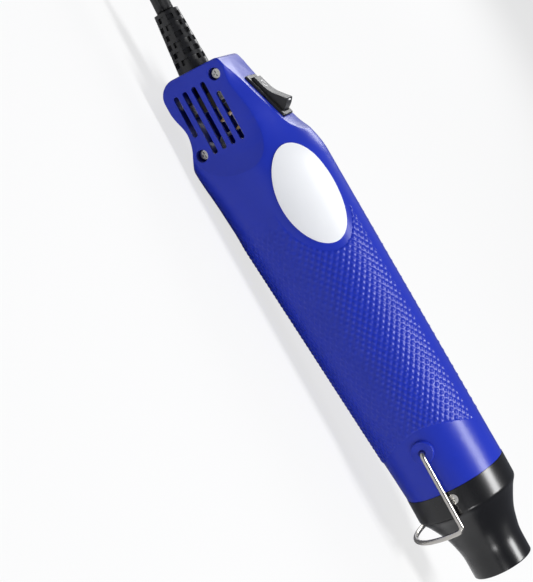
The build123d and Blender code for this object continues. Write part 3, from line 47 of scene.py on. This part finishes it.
CAMERA_DISTANCE = 0.644
CAMERA_AIM = np.array([-0.0124, 0.0, 0.0001])
PICTURE_WIDTH_PIXELS = 533
FOCAL_PIXELS = 1652.4
SENSOR_MM = 36.0

back = np.array([-math.sin(CAMERA_TURN), -math.cos(CAMERA_RISE) * math.cos(CAMERA_TURN),
                 math.sin(CAMERA_RISE) * math.cos(CAMERA_TURN)])
back /= np.linalg.norm(back)
level = np.cross(-back, (0.0, 0.0, 1.0))
level /= np.linalg.norm(level)
upward = np.cross(level, -back)
across = math.cos(CAMERA_ROLL) * level + math.sin(CAMERA_ROLL) * upward
raised = -math.sin(CAMERA_ROLL) * level + math.cos(CAMERA_ROLL) * upward
lens = bpy.data.cameras.new("camera")
lens.sensor_fit = "HORIZONTAL"
lens.sensor_width = SENSOR_MM
lens.lens = SENSOR_MM * FOCAL_PIXELS / PICTURE_WIDTH_PIXELS
lens.clip_start = 0.02
lens.clip_end = 60.0
camera = bpy.data.objects.new("camera", lens)
bpy.context.scene.collection.objects.link(camera)
pose = np.eye(4)
pose[:3, 0], pose[:3, 1], pose[:3, 2] = across, raised, back
pose[:3, 3] = CAMERA_AIM + CAMERA_DISTANCE * back
camera.matrix_world = Matrix(pose.tolist())
bpy.context.scene.camera = camera
bpy.context.scene.view_settings.view_transform = "Standard"


def grid_mesh(name, points, wrap_u=False, wrap_v=False):
    """Mesh from a grid of points with shape (rows, columns, 3); quads join neighbours in both
    directions, and wrap_u or wrap_v also joins the last row or column to the first."""
    rows, columns = points.shape[:2]
    index = np.arange(rows * columns).reshape(rows, columns)
    if wrap_u:
        index = np.vstack([index, index[:1]])
    if wrap_v:
        index = np.hstack([index, index[:, :1]])
    corners = [index[:-1, :-1], index[:-1, 1:], index[1:, 1:], index[1:, :-1]]
    quads = np.stack(corners, axis=-1).reshape(-1, 4)
    return mesh_from(name, points.reshape(-1, 3), quads)


def mesh_from(name, vertices, quads):
    """Mesh from arrays of vertices and four-sided faces, smooth all over."""
    mesh = bpy.data.meshes.new(name)
    mesh.vertices.add(len(vertices))
    mesh.vertices.foreach_set("co", np.asarray(vertices, dtype=np.float32).ravel())
    mesh.loops.add(quads.size)
    mesh.loops.foreach_set("vertex_index", np.ascontiguousarray(quads, dtype=np.int32).ravel())
    mesh.polygons.add(len(quads))
    mesh.polygons.foreach_set("loop_start", np.arange(0, quads.size, 4, dtype=np.int32))
    mesh.update(calc_edges=True)
    mesh.validate()
    mesh.polygons.foreach_set("use_smooth", np.ones(len(mesh.polygons), dtype=bool))
    return mesh


def new_piece(name, mesh, material, body):
    """Object for a finished mesh with one material, riding on a body."""
    piece = bpy.data.objects.new(name, mesh)
    bpy.context.scene.collection.objects.link(piece)
    mesh.materials.clear()
    mesh.materials.append(material)
    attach(piece, body)
    return piece


FLOOR_HALF = 12.0
FLOOR_COLOUR = (0.72, 0.72, 0.72, 1.0)
sheet_corners = np.array([[[-1, -1, 0], [-1, 1, 0]], [[1, -1, 0], [1, 1, 0]]], dtype=float) * FLOOR_HALF
sheet_corners[..., 2] = -0.00015
floor_mesh = grid_mesh("floor", sheet_corners)
floor_mesh.flip_normals()
floor = bpy.data.objects.new("floor", floor_mesh)
bpy.context.scene.collection.objects.link(floor)
paper = bpy.data.materials.new("paper")
paper.use_nodes = True
nodes, links = paper.node_tree.nodes, paper.node_tree.links
skin = nodes["Principled BSDF"]
skin.inputs["Base Color"].default_value = FLOOR_COLOUR
skin.inputs["Roughness"].default_value = 0.9
skin.inputs["Specular IOR Level"].default_value = 0.1
glow = nodes.new("ShaderNodeEmission")
path = nodes.new("ShaderNodeLightPath")
blend = nodes.new("ShaderNodeMixShader")
share = nodes.new("ShaderNodeMath")
share.operation = "MULTIPLY"
share.inputs[1].default_value = 0.72
links.new(path.outputs["Is Camera Ray"], share.inputs[0])
links.new(share.outputs[0], blend.inputs[0])
links.new(skin.outputs[0], blend.inputs[1])
links.new(glow.outputs[0], blend.inputs[2])
links.new(blend.outputs[0], nodes["Material Output"].inputs[0])
floor_mesh.materials.append(paper)

world = bpy.data.worlds.new("studio")
bpy.context.scene.world = world
world.use_nodes = True
nodes, links = world.node_tree.nodes, world.node_tree.links
room = nodes["Background"]
room.inputs["Color"].default_value = (0.80, 0.84, 0.95, 1.0)
room.inputs["Strength"].default_value = 0.2
backdrop = nodes.new("ShaderNodeBackground")
backdrop.inputs["Color"].default_value = (1.0, 1.0, 1.0, 1.0)
backdrop.inputs["Strength"].default_value = 1.0
path = nodes.new("ShaderNodeLightPath")
seen = nodes.new("ShaderNodeMath")
seen.operation = "MAXIMUM"
swap = nodes.new("ShaderNodeMixShader")
links.new(path.outputs["Is Camera Ray"], seen.inputs[0])
links.new(path.outputs["Is Transmission Ray"], seen.inputs[1])
links.new(seen.outputs[0], swap.inputs[0])
links.new(room.outputs[0], swap.inputs[1])
links.new(backdrop.outputs[0], swap.inputs[2])
links.new(swap.outputs[0], nodes["World Output"].inputs[0])


def soft_box(name, place, aim, width, height, watts, colour=(1.0, 1.0, 1.0)):
    """Rectangular area lamp at a place, facing a point, sizes in metres."""
    data = bpy.data.lights.new(name, "AREA")
    data.shape = "RECTANGLE"
    data.size, data.size_y = width, height
    data.energy = watts
    data.color = colour
    lamp = bpy.data.objects.new(name, data)
    bpy.context.scene.collection.objects.link(lamp)
    away = np.array(place, dtype=float) - np.array(aim, dtype=float)
    away /= np.linalg.norm(away)
    side = np.cross((0.0, 1.0, 0.0), away)
    side /= np.linalg.norm(side)
    turn = np.eye(4)
    turn[:3, 0], turn[:3, 1], turn[:3, 2] = side, np.cross(away, side), away
    turn[:3, 3] = place
    lamp.matrix_world = Matrix(turn.tolist())
    return lamp


soft_box("key", (0.35, -0.2, 1.3), (0, 0, 0), 0.7, 0.4, 19.0)
soft_box("front", (0.9, -1.3, 0.35), (0, 0, 0.02), 0.18, 0.18, 3.6)
soft_box("rear", (-0.5, 1.2, 0.6), (0, 0, 0.02), 0.8, 0.5, 8.0)


# Shells. Two injection-moulded halves in satin royal blue, screwed together from the near side;
# their rounded edges and air slots are as the mould left them. The skin has a very fine spark
# texture, a little sink and mottle, and slight polish in patches all over.
def value_group(name, inputs, outputs):
    """Empty shader group with named sockets; inputs are (kind, name, default)."""
    tree = bpy.data.node_groups.new(name, "ShaderNodeTree")
    for kind, label, default in inputs:
        socket = tree.interface.new_socket(name=label, in_out="INPUT", socket_type="NodeSocket" + kind)
        socket.default_value = default
    for kind, label in outputs:
        tree.interface.new_socket(name=label, in_out="OUTPUT", socket_type="NodeSocket" + kind)
    return tree, tree.nodes.new("NodeGroupInput"), tree.nodes.new("NodeGroupOutput")


def moulded_skin():
    """Mould texture: colour mottled by slow noise, roughness by patches, height from fine grain."""
    tree, given, out = value_group(
        "moulded_skin",
        [("Color", "Colour", (0.5, 0.5, 0.5, 1.0)), ("Float", "Mottle", 0.06), ("Float", "Roughness", 0.4),
         ("Float", "Patchiness", 0.06), ("Float", "Grain size mm", 0.25)],
        [("Color", "Colour"), ("Float", "Roughness"), ("Float", "Height")])
    place = tree.nodes.new("ShaderNodeTexCoord")
    cloud = tree.nodes.new("ShaderNodeTexNoise")
    cloud.inputs["Scale"].default_value = 55.0
    cloud.inputs["Detail"].default_value = 3.0
    grain = tree.nodes.new("ShaderNodeTexNoise")
    grain.inputs["Detail"].default_value = 2.0
    per_metre = tree.nodes.new("ShaderNodeMath")
    per_metre.operation = "DIVIDE"
    per_metre.inputs[0].default_value = 500.0
    tone = tree.nodes.new("ShaderNodeMapRange")
    tone.inputs["From Min"].default_value = 0.3
    tone.inputs["From Max"].default_value = 0.7
    shade = tree.nodes.new("ShaderNodeMix")
    shade.data_type = "RGBA"
    shade.blend_type = "MULTIPLY"
    dark = tree.nodes.new("ShaderNodeMath")
    dark.operation = "MULTIPLY"
    spread = tree.nodes.new("ShaderNodeMath")
    spread.operation = "MULTIPLY_ADD"
    join = tree.links.new
    join(place.outputs["Object"], cloud.inputs["Vector"])
    join(place.outputs["Object"], grain.inputs["Vector"])
    join(given.outputs["Grain size mm"], per_metre.inputs[1])
    join(per_metre.outputs[0], grain.inputs["Scale"])
    join(cloud.outputs["Fac"], tone.inputs["Value"])
    join(tone.outputs["Result"], dark.inputs[0])
    join(given.outputs["Mottle"], dark.inputs[1])
    join(dark.outputs[0], shade.inputs["Factor"])
    join(given.outputs["Colour"], shade.inputs["A"])
    shade.inputs["B"].default_value = (0.0, 0.0, 0.0, 1.0)
    join(tone.outputs["Result"], spread.inputs[0])
    join(given.outputs["Patchiness"], spread.inputs[1])
    join(given.outputs["Roughness"], spread.inputs[2])
    join(shade.outputs["Result"], out.inputs["Colour"])
    join(spread.outputs[0], out.inputs["Roughness"])
    join(grain.outputs["Fac"], out.inputs["Height"])
    return tree


MOULDED_SKIN = moulded_skin()


def moulded(name, colour, roughness, mottle=0.06, patchiness=0.06, grain_mm=0.25, bump_mm=0.004,
            coat=0.0, metallic=0.0, shine=0.5):
    """Moulded or pressed material with the mould texture group behind its colour and bump."""
    material = bpy.data.materials.new(name)
    material.use_nodes = True
    tree = material.node_tree
    shader = tree.nodes["Principled BSDF"]
    texture = tree.nodes.new("ShaderNodeGroup")
    texture.node_tree = MOULDED_SKIN
    texture.inputs["Colour"].default_value = (*colour, 1.0)
    texture.inputs["Mottle"].default_value = mottle
    texture.inputs["Roughness"].default_value = roughness
    texture.inputs["Patchiness"].default_value = patchiness
    texture.inputs["Grain size mm"].default_value = grain_mm
    bump = tree.nodes.new("ShaderNodeBump")
    bump.inputs["Distance"].default_value = bump_mm / 1000
    tree.links.new(texture.outputs["Colour"], shader.inputs["Base Color"])
    tree.links.new(texture.outputs["Roughness"], shader.inputs["Roughness"])
    tree.links.new(texture.outputs["Height"], bump.inputs["Height"])
    tree.links.new(bump.outputs["Normal"], shader.inputs["Normal"])
    shader.inputs["Coat Weight"].default_value = coat
    shader.inputs["Coat Roughness"].default_value = 0.12
    shader.inputs["Metallic"].default_value = metallic
    shader.inputs["Specular IOR Level"].default_value = shine
    return material


BLUE = (0.013, 0.032, 0.44)
blue_plastic = moulded("blue_plastic", BLUE, 0.27, mottle=0.08, patchiness=0.08, grain_mm=0.3,
                       bump_mm=0.006, shine=0.3)


def dressed(node, material, body, sharp_degrees=28.0):
    """Clean copy of a part of the frame: doubles merged, smooth shading between sharp edges."""
    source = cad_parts[node]
    mesh = source.data.copy()
    mesh.name = node + "_dressed"
    work = bmesh.new()
    work.from_mesh(mesh)
    bmesh.ops.remove_doubles(work, verts=work.verts, dist=1e-6)
    limit = math.radians(sharp_degrees)
    for face in work.faces:
        face.smooth = True
    for edge in work.edges:
        edge.smooth = len(edge.link_faces) == 2 and edge.calc_face_angle(0.0) < limit
    work.to_mesh(mesh)
    work.free()
    piece = new_piece(node + "_dressed", mesh, material, body)
    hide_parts(node)
    return piece


dressed("near_shell", blue_plastic, "body")
dressed("far_shell", blue_plastic, "body")


# Grip knurl. Moulded in one with each half: small diamond studs left by two families of crossing
# grooves, with plain strips along the parting line and a plain border round the label. Its places
# are in millimetres from the tail face, and FRAME_SHIFT moves them into the part's frame.
FRAME_SHIFT = np.array([-100.00163, 0.0, 30.27254])
BELLY_X, FRONT_X = 51.0, 185.2
HALF_WIDTH = 20.6
BELLY_HEIGHT, FRONT_HEIGHT = 23.8, 20.6
BELLY_DROP = 5.7
ROUND_HANDLE, BELLY_LOW_HANDLE = 0.5523, 0.66
KNURL_START, KNURL_END = 62.0, 168.5
KNURL_SIDE_END, KNURL_END_SWEEP = 159.6, 8.2
SIDE_ANGLE, SWEEP_ANGLE, SWEEP_POWER = 3.0, 66.0, 1.5
KNURL_TOP_QUARTER, KNURL_LOW_QUARTER = 0.2, 1.91
STUD_ALONG, STUD_AROUND = 3.65, 2.5
STUD_HEIGHT = 0.42
STUD_SHARE = 0.8
GROOVE_LIFT = 0.05
PATCH_DEPTH = 0.25
EDGE_WIDTH = 0.7
START_FADE = 9.0
TOP_START_SETBACK = 11.0
SETBACK_QUARTER, SETBACK_SPREAD = 0.65, 0.35
PATCH_MARGIN, QUARTER_MARGIN = 0.4, 0.015
UNDERSIDE_DEPTH = 0.35
LABEL_CENTRE = (61.7, -5.0)
LABEL_TURN = math.radians(51.3)
LABEL_CLEAR = (22.8, 13.8)


def grip_surface(x, around):
    """Point of the grip in mm: around runs 0 to 1 from the crown to the flank and 1 to 2 on to the
    keel, each quarter a cubic Bezier B = (1-t)^3 F + 3t(1-t)^2 P + 3t^2(1-t) Q + t^3 C in y and z
    from flank F to crown C, whose sizes go straight from the belly's to the front's along x."""
    share = (x - BELLY_X) / (FRONT_X - BELLY_X)
    height = BELLY_HEIGHT + share * (FRONT_HEIGHT - BELLY_HEIGHT)
    low = BELLY_LOW_HANDLE + share * (ROUND_HANDLE - BELLY_LOW_HANDLE)
    upper = around < 1
    handle = np.where(upper, ROUND_HANDLE, low)
    t = np.where(upper, 1 - around, around - 1)
    flank_part, crown_part = (1 - t) ** 3, t ** 3
    first, second = 3 * t * (1 - t) ** 2, 3 * t ** 2 * (1 - t)
    wide = HALF_WIDTH * (flank_part + first + handle * second)
    tall = height * (crown_part + second + handle * first)
    z = np.where(upper, tall, -tall) - BELLY_DROP * (1 - share)
    return np.stack([x, -wide, z], axis=-1)


def ramp(value):
    """Smooth step 3v^2 - 2v^3 of a value held between 0 and 1."""
    held = np.clip(value, 0, 1)
    return held * held * (3 - 2 * held)


def knurl_start(around):
    """Where the knurl begins along x, in mm: later near the crown, past the sloping strip's end."""
    return KNURL_START + TOP_START_SETBACK * ramp((SETBACK_QUARTER - around) / SETBACK_SPREAD)


def knurl_height(x, around, points, labelled):
    """Height over the grip in mm: STUD_HEIGHT where both p = x/A + a/B and q = x/A - a/B are far
    from whole numbers, zero in the grooves where one is whole, faded to zero at the borders; the
    studs grow over START_FADE from the tail end."""
    run = HALF_WIDTH * math.pi / 2 * around
    nearest = np.zeros(x.shape)
    for way in (1, -1):
        phase = x / STUD_ALONG + way * run / STUD_AROUND
        nearest = np.maximum(nearest, np.abs(2 * (phase - np.floor(phase)) - 1))
    stud = STUD_HEIGHT * np.clip((1 - nearest) / STUD_SHARE, 0, 1) * ramp((x - KNURL_START) / START_FADE)
    rise = np.degrees(np.arctan2(points[..., 2], -points[..., 1]))
    end = KNURL_SIDE_END + KNURL_END_SWEEP * (np.abs(rise - SIDE_ANGLE) / SWEEP_ANGLE) ** SWEEP_POWER
    quarter = HALF_WIDTH * math.pi / 2
    inside = np.minimum.reduce([
        x - knurl_start(around), np.minimum(end, KNURL_END - EDGE_WIDTH) - x,
        (around - KNURL_TOP_QUARTER) * quarter, (KNURL_LOW_QUARTER - around) * quarter])
    if labelled:
        u = (x - LABEL_CENTRE[0]) / LABEL_CLEAR[0]
        w = (math.cos(LABEL_TURN) * points[..., 1]
             + math.sin(LABEL_TURN) * (points[..., 2] - LABEL_CENTRE[1])) / LABEL_CLEAR[1]
        inside = np.minimum(inside, (np.hypot(u, w) - 1) * LABEL_CLEAR[1])
    shown = ramp(inside / EDGE_WIDTH)
    return (stud + GROOVE_LIFT + PATCH_DEPTH) * shown - PATCH_DEPTH


def welded(mesh, smooth=True):
    """Merge the doubled points of a closed mesh and turn its faces outward."""
    work = bmesh.new()
    work.from_mesh(mesh)
    bmesh.ops.remove_doubles(work, verts=work.verts, dist=1e-7)
    bmesh.ops.recalc_face_normals(work, faces=work.faces)
    for face in work.faces:
        face.smooth = smooth
    work.to_mesh(mesh)
    work.free()
    return mesh


def knurl_patch(name, side, labelled, columns=250, rows=142):
    """Closed skin over one half of the grip: the studded face above, the same grid sunk below."""
    quarters = np.linspace(KNURL_TOP_QUARTER - QUARTER_MARGIN, KNURL_LOW_QUARTER + QUARTER_MARGIN, rows)
    share, around = np.meshgrid(np.linspace(0, 1, columns), quarters)
    start = knurl_start(around) - PATCH_MARGIN
    x = start + share * (KNURL_END - start)
    points = grip_surface(x, around)
    along = np.gradient(points, axis=1)
    down = np.gradient(points, axis=0)
    outward = np.cross(along, down)
    outward /= np.linalg.norm(outward, axis=-1, keepdims=True)
    outward *= np.sign(np.sum(outward * (points * (0, 1, 1)), axis=-1, keepdims=True))
    top = points + knurl_height(x, around, points, labelled)[..., None] * outward
    under = points - UNDERSIDE_DEPTH * outward
    under[[0, -1]] = top[[0, -1]]
    under[:, [0, -1]] = top[:, [0, -1]]
    skins = [top, under[::-1]]
    both = np.concatenate([(skin * (1, side, 1) + FRAME_SHIFT) / 1000 for skin in skins])
    mesh = grid_mesh(name, both, wrap_u=True)
    return welded(mesh)


new_piece("near_knurl", knurl_patch("near_knurl", 1, True), blue_plastic, "body")
new_piece("far_knurl", knurl_patch("far_knurl", -1, False), blue_plastic, "body")


# Parting line. The hairline gap between the two halves, seen as a thin shadow along the plain
# strips at the top and the bottom of the grip.
PART_LINE_WIDTH = 0.14
PART_LINE_RISE = 0.02
PART_LINE_SINK = 0.3
KEEL_LINE_START = BELLY_X + 1.0
LINE_END = FRONT_X - 1.5


def part_line(name, keel):
    """Closed flat bar along the crown or the keel: a rectangle in y and z moved straight along x."""
    ends = np.array([KEEL_LINE_START if keel else KNURL_START + TOP_START_SETBACK, LINE_END])
    place = grip_surface(ends, np.full(2, 2.0 if keel else 0.0))
    way = -1 if keel else 1
    corners = [(-1, PART_LINE_RISE), (1, PART_LINE_RISE), (1, -PART_LINE_SINK), (-1, -PART_LINE_SINK)]
    ring = np.array([(0, y * PART_LINE_WIDTH / 2, way * z) for y, z in corners])
    rings = place[:, None] * (1, 0, 1) + ring[None]
    caps = np.repeat((place * (1, 0, 1))[:, None], 4, axis=1)
    points = (np.concatenate([caps[:1], rings, caps[1:]]) + FRAME_SHIFT) / 1000
    mesh = grid_mesh(name, points, wrap_v=True)
    return welded(mesh, smooth=False)


shadow_blue = moulded("shadow_blue", (0.006, 0.01, 0.09), 0.6, mottle=0.1)
new_piece("top_part_line", part_line("top_part_line", False), shadow_blue, "body")
new_piece("keel_part_line", part_line("keel_part_line", True), shadow_blue, "body")


# Nozzle. Turned-looking moulding in black heat-resistant plastic, polished, with a collar that
# slips over the shells' neck and is held by two screws.
black_gloss = moulded("black_gloss", (0.005, 0.005, 0.006), 0.24, mottle=0.1, patchiness=0.05, grain_mm=0.5,
                      bump_mm=0.002)
dressed("nozzle", black_gloss, "body")


# Label. Thin white film, printed on the real tool and left blank here. It is glued to the near
# side of the grip and follows its curve.
label_film = moulded("label_film", (0.86, 0.87, 0.89), 0.35, mottle=0.02, grain_mm=0.4, bump_mm=0.001)
dressed("label_plate", label_film, "body")


# Screws. Zinc-plated steel with crossed slots: two hold the shells together, two hold the nozzle
# on the neck and two hold the cord clamp.
zinc = moulded("zinc", (0.5, 0.49, 0.47), 0.2, mottle=0.3, grain_mm=0.1, bump_mm=0.004, metallic=1.0)
for node in ("shell_screws", "nozzle_screws", "clamp_screws"):
    dressed(node, zinc, "body")


# Bail. Bright plated spring wire, bent round the nozzle; its inturned ends snap into two bosses
# on the shells, and it swings down to stand the hot tool on.
bright_wire = moulded("bright_wire", (0.5, 0.48, 0.45), 0.22, mottle=0.06, grain_mm=0.6, bump_mm=0.001,
                      metallic=1.0)
dressed("bail_stand", bright_wire, "bail", 40.0)


# Rocker switch. Black glossy snap-in housing on the sloping strip, with a rocker that is low at
# the tail side, and a plain ring and bar printed on it in white.
switch_black = moulded("switch_black", (0.010, 0.010, 0.011), 0.3, mottle=0.08, grain_mm=0.2, bump_mm=0.006)
dressed("switch_housing", switch_black, "body")
rocker_piece = dressed("switch_rocker", switch_black, "rocker")
mark_white = moulded("mark_white", (0.8, 0.8, 0.8), 0.5, mottle=0.05, grain_mm=0.2)
MARK_POINTS = 32
MARK_FLATNESS = 4
DROP_HEIGHT = 0.2


def printed_mark(name, half_width, half_height, middle, rise=0.00006, ring=8):
    """Small raised mark on the rocker: a flat closed tube round the ellipse (a cos t, b sin t) in x
    and y about its middle, dropped onto the rocker's upper face from above; sizes in metres."""
    turn = np.linspace(0, 2 * math.pi, MARK_POINTS, endpoint=False)
    shape = np.stack([middle + half_width * np.cos(turn), half_height * np.sin(turn)], axis=1)
    centre = []
    for x, y in shape:
        found, spot, normal, index = rocker_piece.ray_cast((x, y, DROP_HEIGHT), (0.0, 0.0, -1.0))
        centre.append(spot if found else (x, y, 0.0))
    line = np.array([tuple(point) for point in centre])
    along = np.roll(line, -1, axis=0) - np.roll(line, 1, axis=0)
    along /= np.linalg.norm(along, axis=1)[:, None]
    wide = np.cross(along, (0.0, 0.0, 1.0))
    wide /= np.linalg.norm(wide, axis=1)[:, None]
    angle = np.linspace(0, 2 * math.pi, ring, endpoint=False)
    rings = (line[:, None] + MARK_FLATNESS * rise * np.cos(angle)[None, :, None] * wide[:, None]
             + rise * np.sin(angle)[None, :, None] * np.array([0.0, 0.0, 1.0]))
    return new_piece(name, grid_mesh(name, rings, wrap_u=True, wrap_v=True), mark_white, "rocker")


ROCKER_MIDDLE, MARK_OFFSET = -0.0778, 0.005
printed_mark("off_mark", 0.0014, 0.0019, ROCKER_MIDDLE - MARK_OFFSET)
printed_mark("on_mark", 0.00012, 0.0019, ROCKER_MIDDLE + MARK_OFFSET)


# Strain relief, strap and plug. Soft black mouldings; the strain relief is a tapered boot with rows
# of shallow cells, each row turned by half a cell, so that it bends all ways.
soft_black = moulded("soft_black", (0.007, 0.007, 0.008), 0.3, mottle=0.1, grain_mm=0.25, bump_mm=0.008)
dressed("strain_relief", soft_black, "body")
dressed("cord_tie", soft_black, "body")
dressed("plug", soft_black, "body")


# Cord. Flat two-core flex, tall way up: a short lead out of the strain relief, a bend down and
# sideways to the table, then long loops in two layers under a strap, and on to the plug.
TOOL_X = -0.1000016
RELIEF_END = np.array([-0.0247745, 0.0, 0.0191976])
LEAD_END = np.array([-0.037961, 0.0, 0.0197968])
CORE_RADIUS = 0.0018
CORE_OFFSET = 0.0017
CORD_HEIGHT = 0.0044
HANK_TURNS = 3
HANK_PITCH = 0.00445
HANK_LAYER = 0.0077
HANK_RADIUS = 0.0246
HANK_SIDE = 0.005
HANK_STRAIGHT = 0.059
HANK_LEAD = 0.012
LANDING_RUN = 0.048
EXIT_RUN = 0.048
END_RUN = 0.005
PLUG_PLACE = (-0.0080, 0.00755)
HALF_TURN_POINTS = 9
STRAIGHT_SHARES = np.array([0.15, 0.5, 0.85])
EASE_SHARES = np.linspace(0.08, 0.92, 8)


def eased(start, start_way, end, end_way, shares):
    """Points (1-t)^3 A + 3t(1-t)^2 (A + pU) + 3t^2(1-t) (B - pV) + t^3 B, with p half the run along x."""
    pull = abs(end[0] - start[0]) / 2
    t = np.asarray(shares)[:, None]
    return ((1 - t) ** 3 * start + 3 * t * (1 - t) ** 2 * (start + pull * start_way)
            + 3 * t ** 2 * (1 - t) * (end - pull * end_way) + t ** 3 * end)


def wound_points(start):
    """Control points of the wound cord: straights joined by half circles, each a pitch narrower
    or wider than the one before it, set out by what a quadratic spline cuts inside."""
    way = np.array([-1.0, 0.0, 0.0])
    here, side = start + HANK_LEAD * way, 1.0
    halves = 2 * HANK_TURNS
    step_angle = math.pi / HALF_TURN_POINTS
    outset = 8 / (6 + 2 * math.cos(step_angle))
    angle = (np.arange(HALF_TURN_POINTS) + 0.5) * step_angle
    found = [start[None]]
    for step in range(2 * halves):
        inward = min(step, 2 * halves - step)
        radius = HANK_RADIUS - inward * HANK_PITCH / 2
        corner = here + HANK_STRAIGHT * way + (0.0, 0.0, HANK_LAYER if step == halves else 0.0)
        found.append(eased(here, way, corner, way, STRAIGHT_SHARES))
        centre = corner + (0.0, side * radius, 0.0)
        ring = np.stack([way[0] * np.sin(angle), -side * np.cos(angle), 0 * angle], axis=1)
        found.append(centre + radius * outset * ring)
        here, way, side = corner + (0.0, 2 * side * radius, 0.0), -way, -side
    last = here + HANK_STRAIGHT * way
    low = np.array([last[0] - EXIT_RUN, *PLUG_PLACE])
    found += [eased(here, way, last, way, STRAIGHT_SHARES), eased(last, way, low, way, EASE_SHARES),
              low[None], (low + END_RUN * way)[None]]
    return np.concatenate(found)


def spline_curve(name, points):
    """Curve object with one NURBS spline of order 3 through its end points."""
    data = bpy.data.curves.new(name, "CURVE")
    data.dimensions = "3D"
    data.resolution_u = 6
    line = data.splines.new("NURBS")
    line.points.add(len(points) - 1)
    line.points.foreach_set("co", np.hstack([points, np.ones((len(points), 1))]).ravel())
    line.order_u = 3
    line.use_endpoint_u = True
    curve = bpy.data.objects.new(name, data)
    bpy.context.scene.collection.objects.link(curve)
    return curve


def spline_line(name, points):
    """Points along the spline, read from the curve with no bevel; the curve is then removed."""
    curve = spline_curve(name, points)
    bpy.context.view_layer.update()
    mesh = bpy.data.meshes.new_from_object(curve)
    line = np.zeros(len(mesh.vertices) * 3)
    mesh.vertices.foreach_get("co", line)
    bpy.data.objects.remove(curve)
    bpy.data.meshes.remove(mesh)
    return line.reshape(-1, 3)


def flat_flex(name, line, ring=24):
    """Tube whose section is two touching round cores, one above the other. The section's tall
    way follows the vertical, made square to the line at each point; the ends are closed caps."""
    along = np.gradient(line, axis=0)
    along /= np.linalg.norm(along, axis=1)[:, None]
    tall = np.array([0.0, 0.0, 1.0]) - along * along[:, 2:3]
    tall /= np.linalg.norm(tall, axis=1)[:, None]
    wide = np.cross(along, tall)
    neck = math.acos(CORE_OFFSET / CORE_RADIUS)
    half = np.linspace(neck - math.pi / 2, 3 * math.pi / 2 - neck, ring // 2)
    upper = np.stack([CORE_RADIUS * np.cos(half), CORE_OFFSET + CORE_RADIUS * np.sin(half)], axis=1)
    section = np.concatenate([upper, -upper])
    rings = line[:, None] + section[None, :, :1] * wide[:, None] + section[None, :, 1:] * tall[:, None]
    caps = np.repeat(line[[0, -1]][:, None], ring, axis=1)
    points = np.concatenate([caps[:1], rings, caps[1:]])
    mesh = grid_mesh(name, points, wrap_v=True)
    return welded(mesh)


landing = np.array([LEAD_END[0] - LANDING_RUN, HANK_SIDE - HANK_RADIUS, CORD_HEIGHT])
out_way = (LEAD_END - RELIEF_END) / np.linalg.norm(LEAD_END - RELIEF_END)
lead_shares = np.linspace(0, 1, 4)[:, None]
route = np.concatenate([RELIEF_END + lead_shares * (LEAD_END - RELIEF_END),
                        eased(LEAD_END, out_way, landing, np.array([-1.0, 0.0, 0.0]), EASE_SHARES),
                        wound_points(landing)]) + (TOOL_X, 0.0, 0.0)
cord_line = spline_line("cord_line", route)
black_flex = moulded("black_flex", (0.018, 0.018, 0.019), 0.42, mottle=0.08, grain_mm=0.2, bump_mm=0.004)
cord_piece = new_piece("flat_flex", flat_flex("flat_flex", cord_line), black_flex, "body")
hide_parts("power_cord", "cord_hank")


# Hidden works. Motor, fan, heater and wiring keep their own shapes and get their own finishes.
# The rectifier board, the motor end cap and the cord clamp share one brown, darker than a bare
# board: painted shade that stands for the shade inside the shells, where they show through the slots.
FINISHES = {
    "heater_tube": moulded("tube_steel", (0.55, 0.55, 0.56), 0.35, mottle=0.15, metallic=1.0),
    "outlet_grille": moulded("grille_steel", (0.5, 0.5, 0.5), 0.4, mottle=0.2, metallic=1.0),
    "mica_sleeve": moulded("mica", (0.62, 0.55, 0.4), 0.5, mottle=0.35, grain_mm=0.6),
    "motor_can": moulded("motor_can", (0.6, 0.61, 0.62), 0.3, mottle=0.1, metallic=1.0),
    "motor_magnets": moulded("magnet", (0.1, 0.1, 0.11), 0.6, mottle=0.2),
    "armature_core": moulded("core_iron", (0.3, 0.3, 0.31), 0.45, mottle=0.2, metallic=1.0),
    "armature_windings": moulded("enamelled_copper", (0.5, 0.17, 0.06), 0.3, mottle=0.25, metallic=1.0),
    "commutator": moulded("contact_metal", (0.74, 0.5, 0.24), 0.35, mottle=0.15, metallic=1.0),
    # painted shade: the board's brown is darkened for the shade inside the shells; the end cap and cord
    # clamp share it
    "rectifier_board": moulded("board_brown_painted_shade", (0.05, 0.04, 0.02), 0.5, mottle=0.2),
    "bridge_diodes": moulded("diode_black", (0.02, 0.02, 0.02), 0.4),
    "fan_wheel": moulded("fan_grey", (0.08, 0.08, 0.09), 0.45),
    "fan_duct": moulded("duct_grey", (0.14, 0.14, 0.15), 0.5),
    "heater_leads": moulded("glass_sleeving", (0.78, 0.77, 0.72), 0.7, mottle=0.25, grain_mm=0.5,
                            bump_mm=0.05),
    "heater_coil": moulded("resistance_wire", (0.38, 0.35, 0.33), 0.5, mottle=0.3, metallic=1.0),
    "inner_cord": black_flex,
}
ALIKE = {
    "mica_sleeve": ("mica_former", "tube_spacer"), "motor_can": ("motor_shaft", "thermal_cutout"),
    "commutator": ("motor_brushes", "motor_terminals", "switch_terminals", "plug_blades"),
    "rectifier_board": ("motor_end_cap", "cord_clamp"), "heater_leads": ("supply_leads",),
}
for node, finish in FINISHES.items():
    for name in (node, *ALIKE.get(node, ())):
        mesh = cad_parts[name].data
        mesh.materials.clear()
        mesh.materials.append(finish)
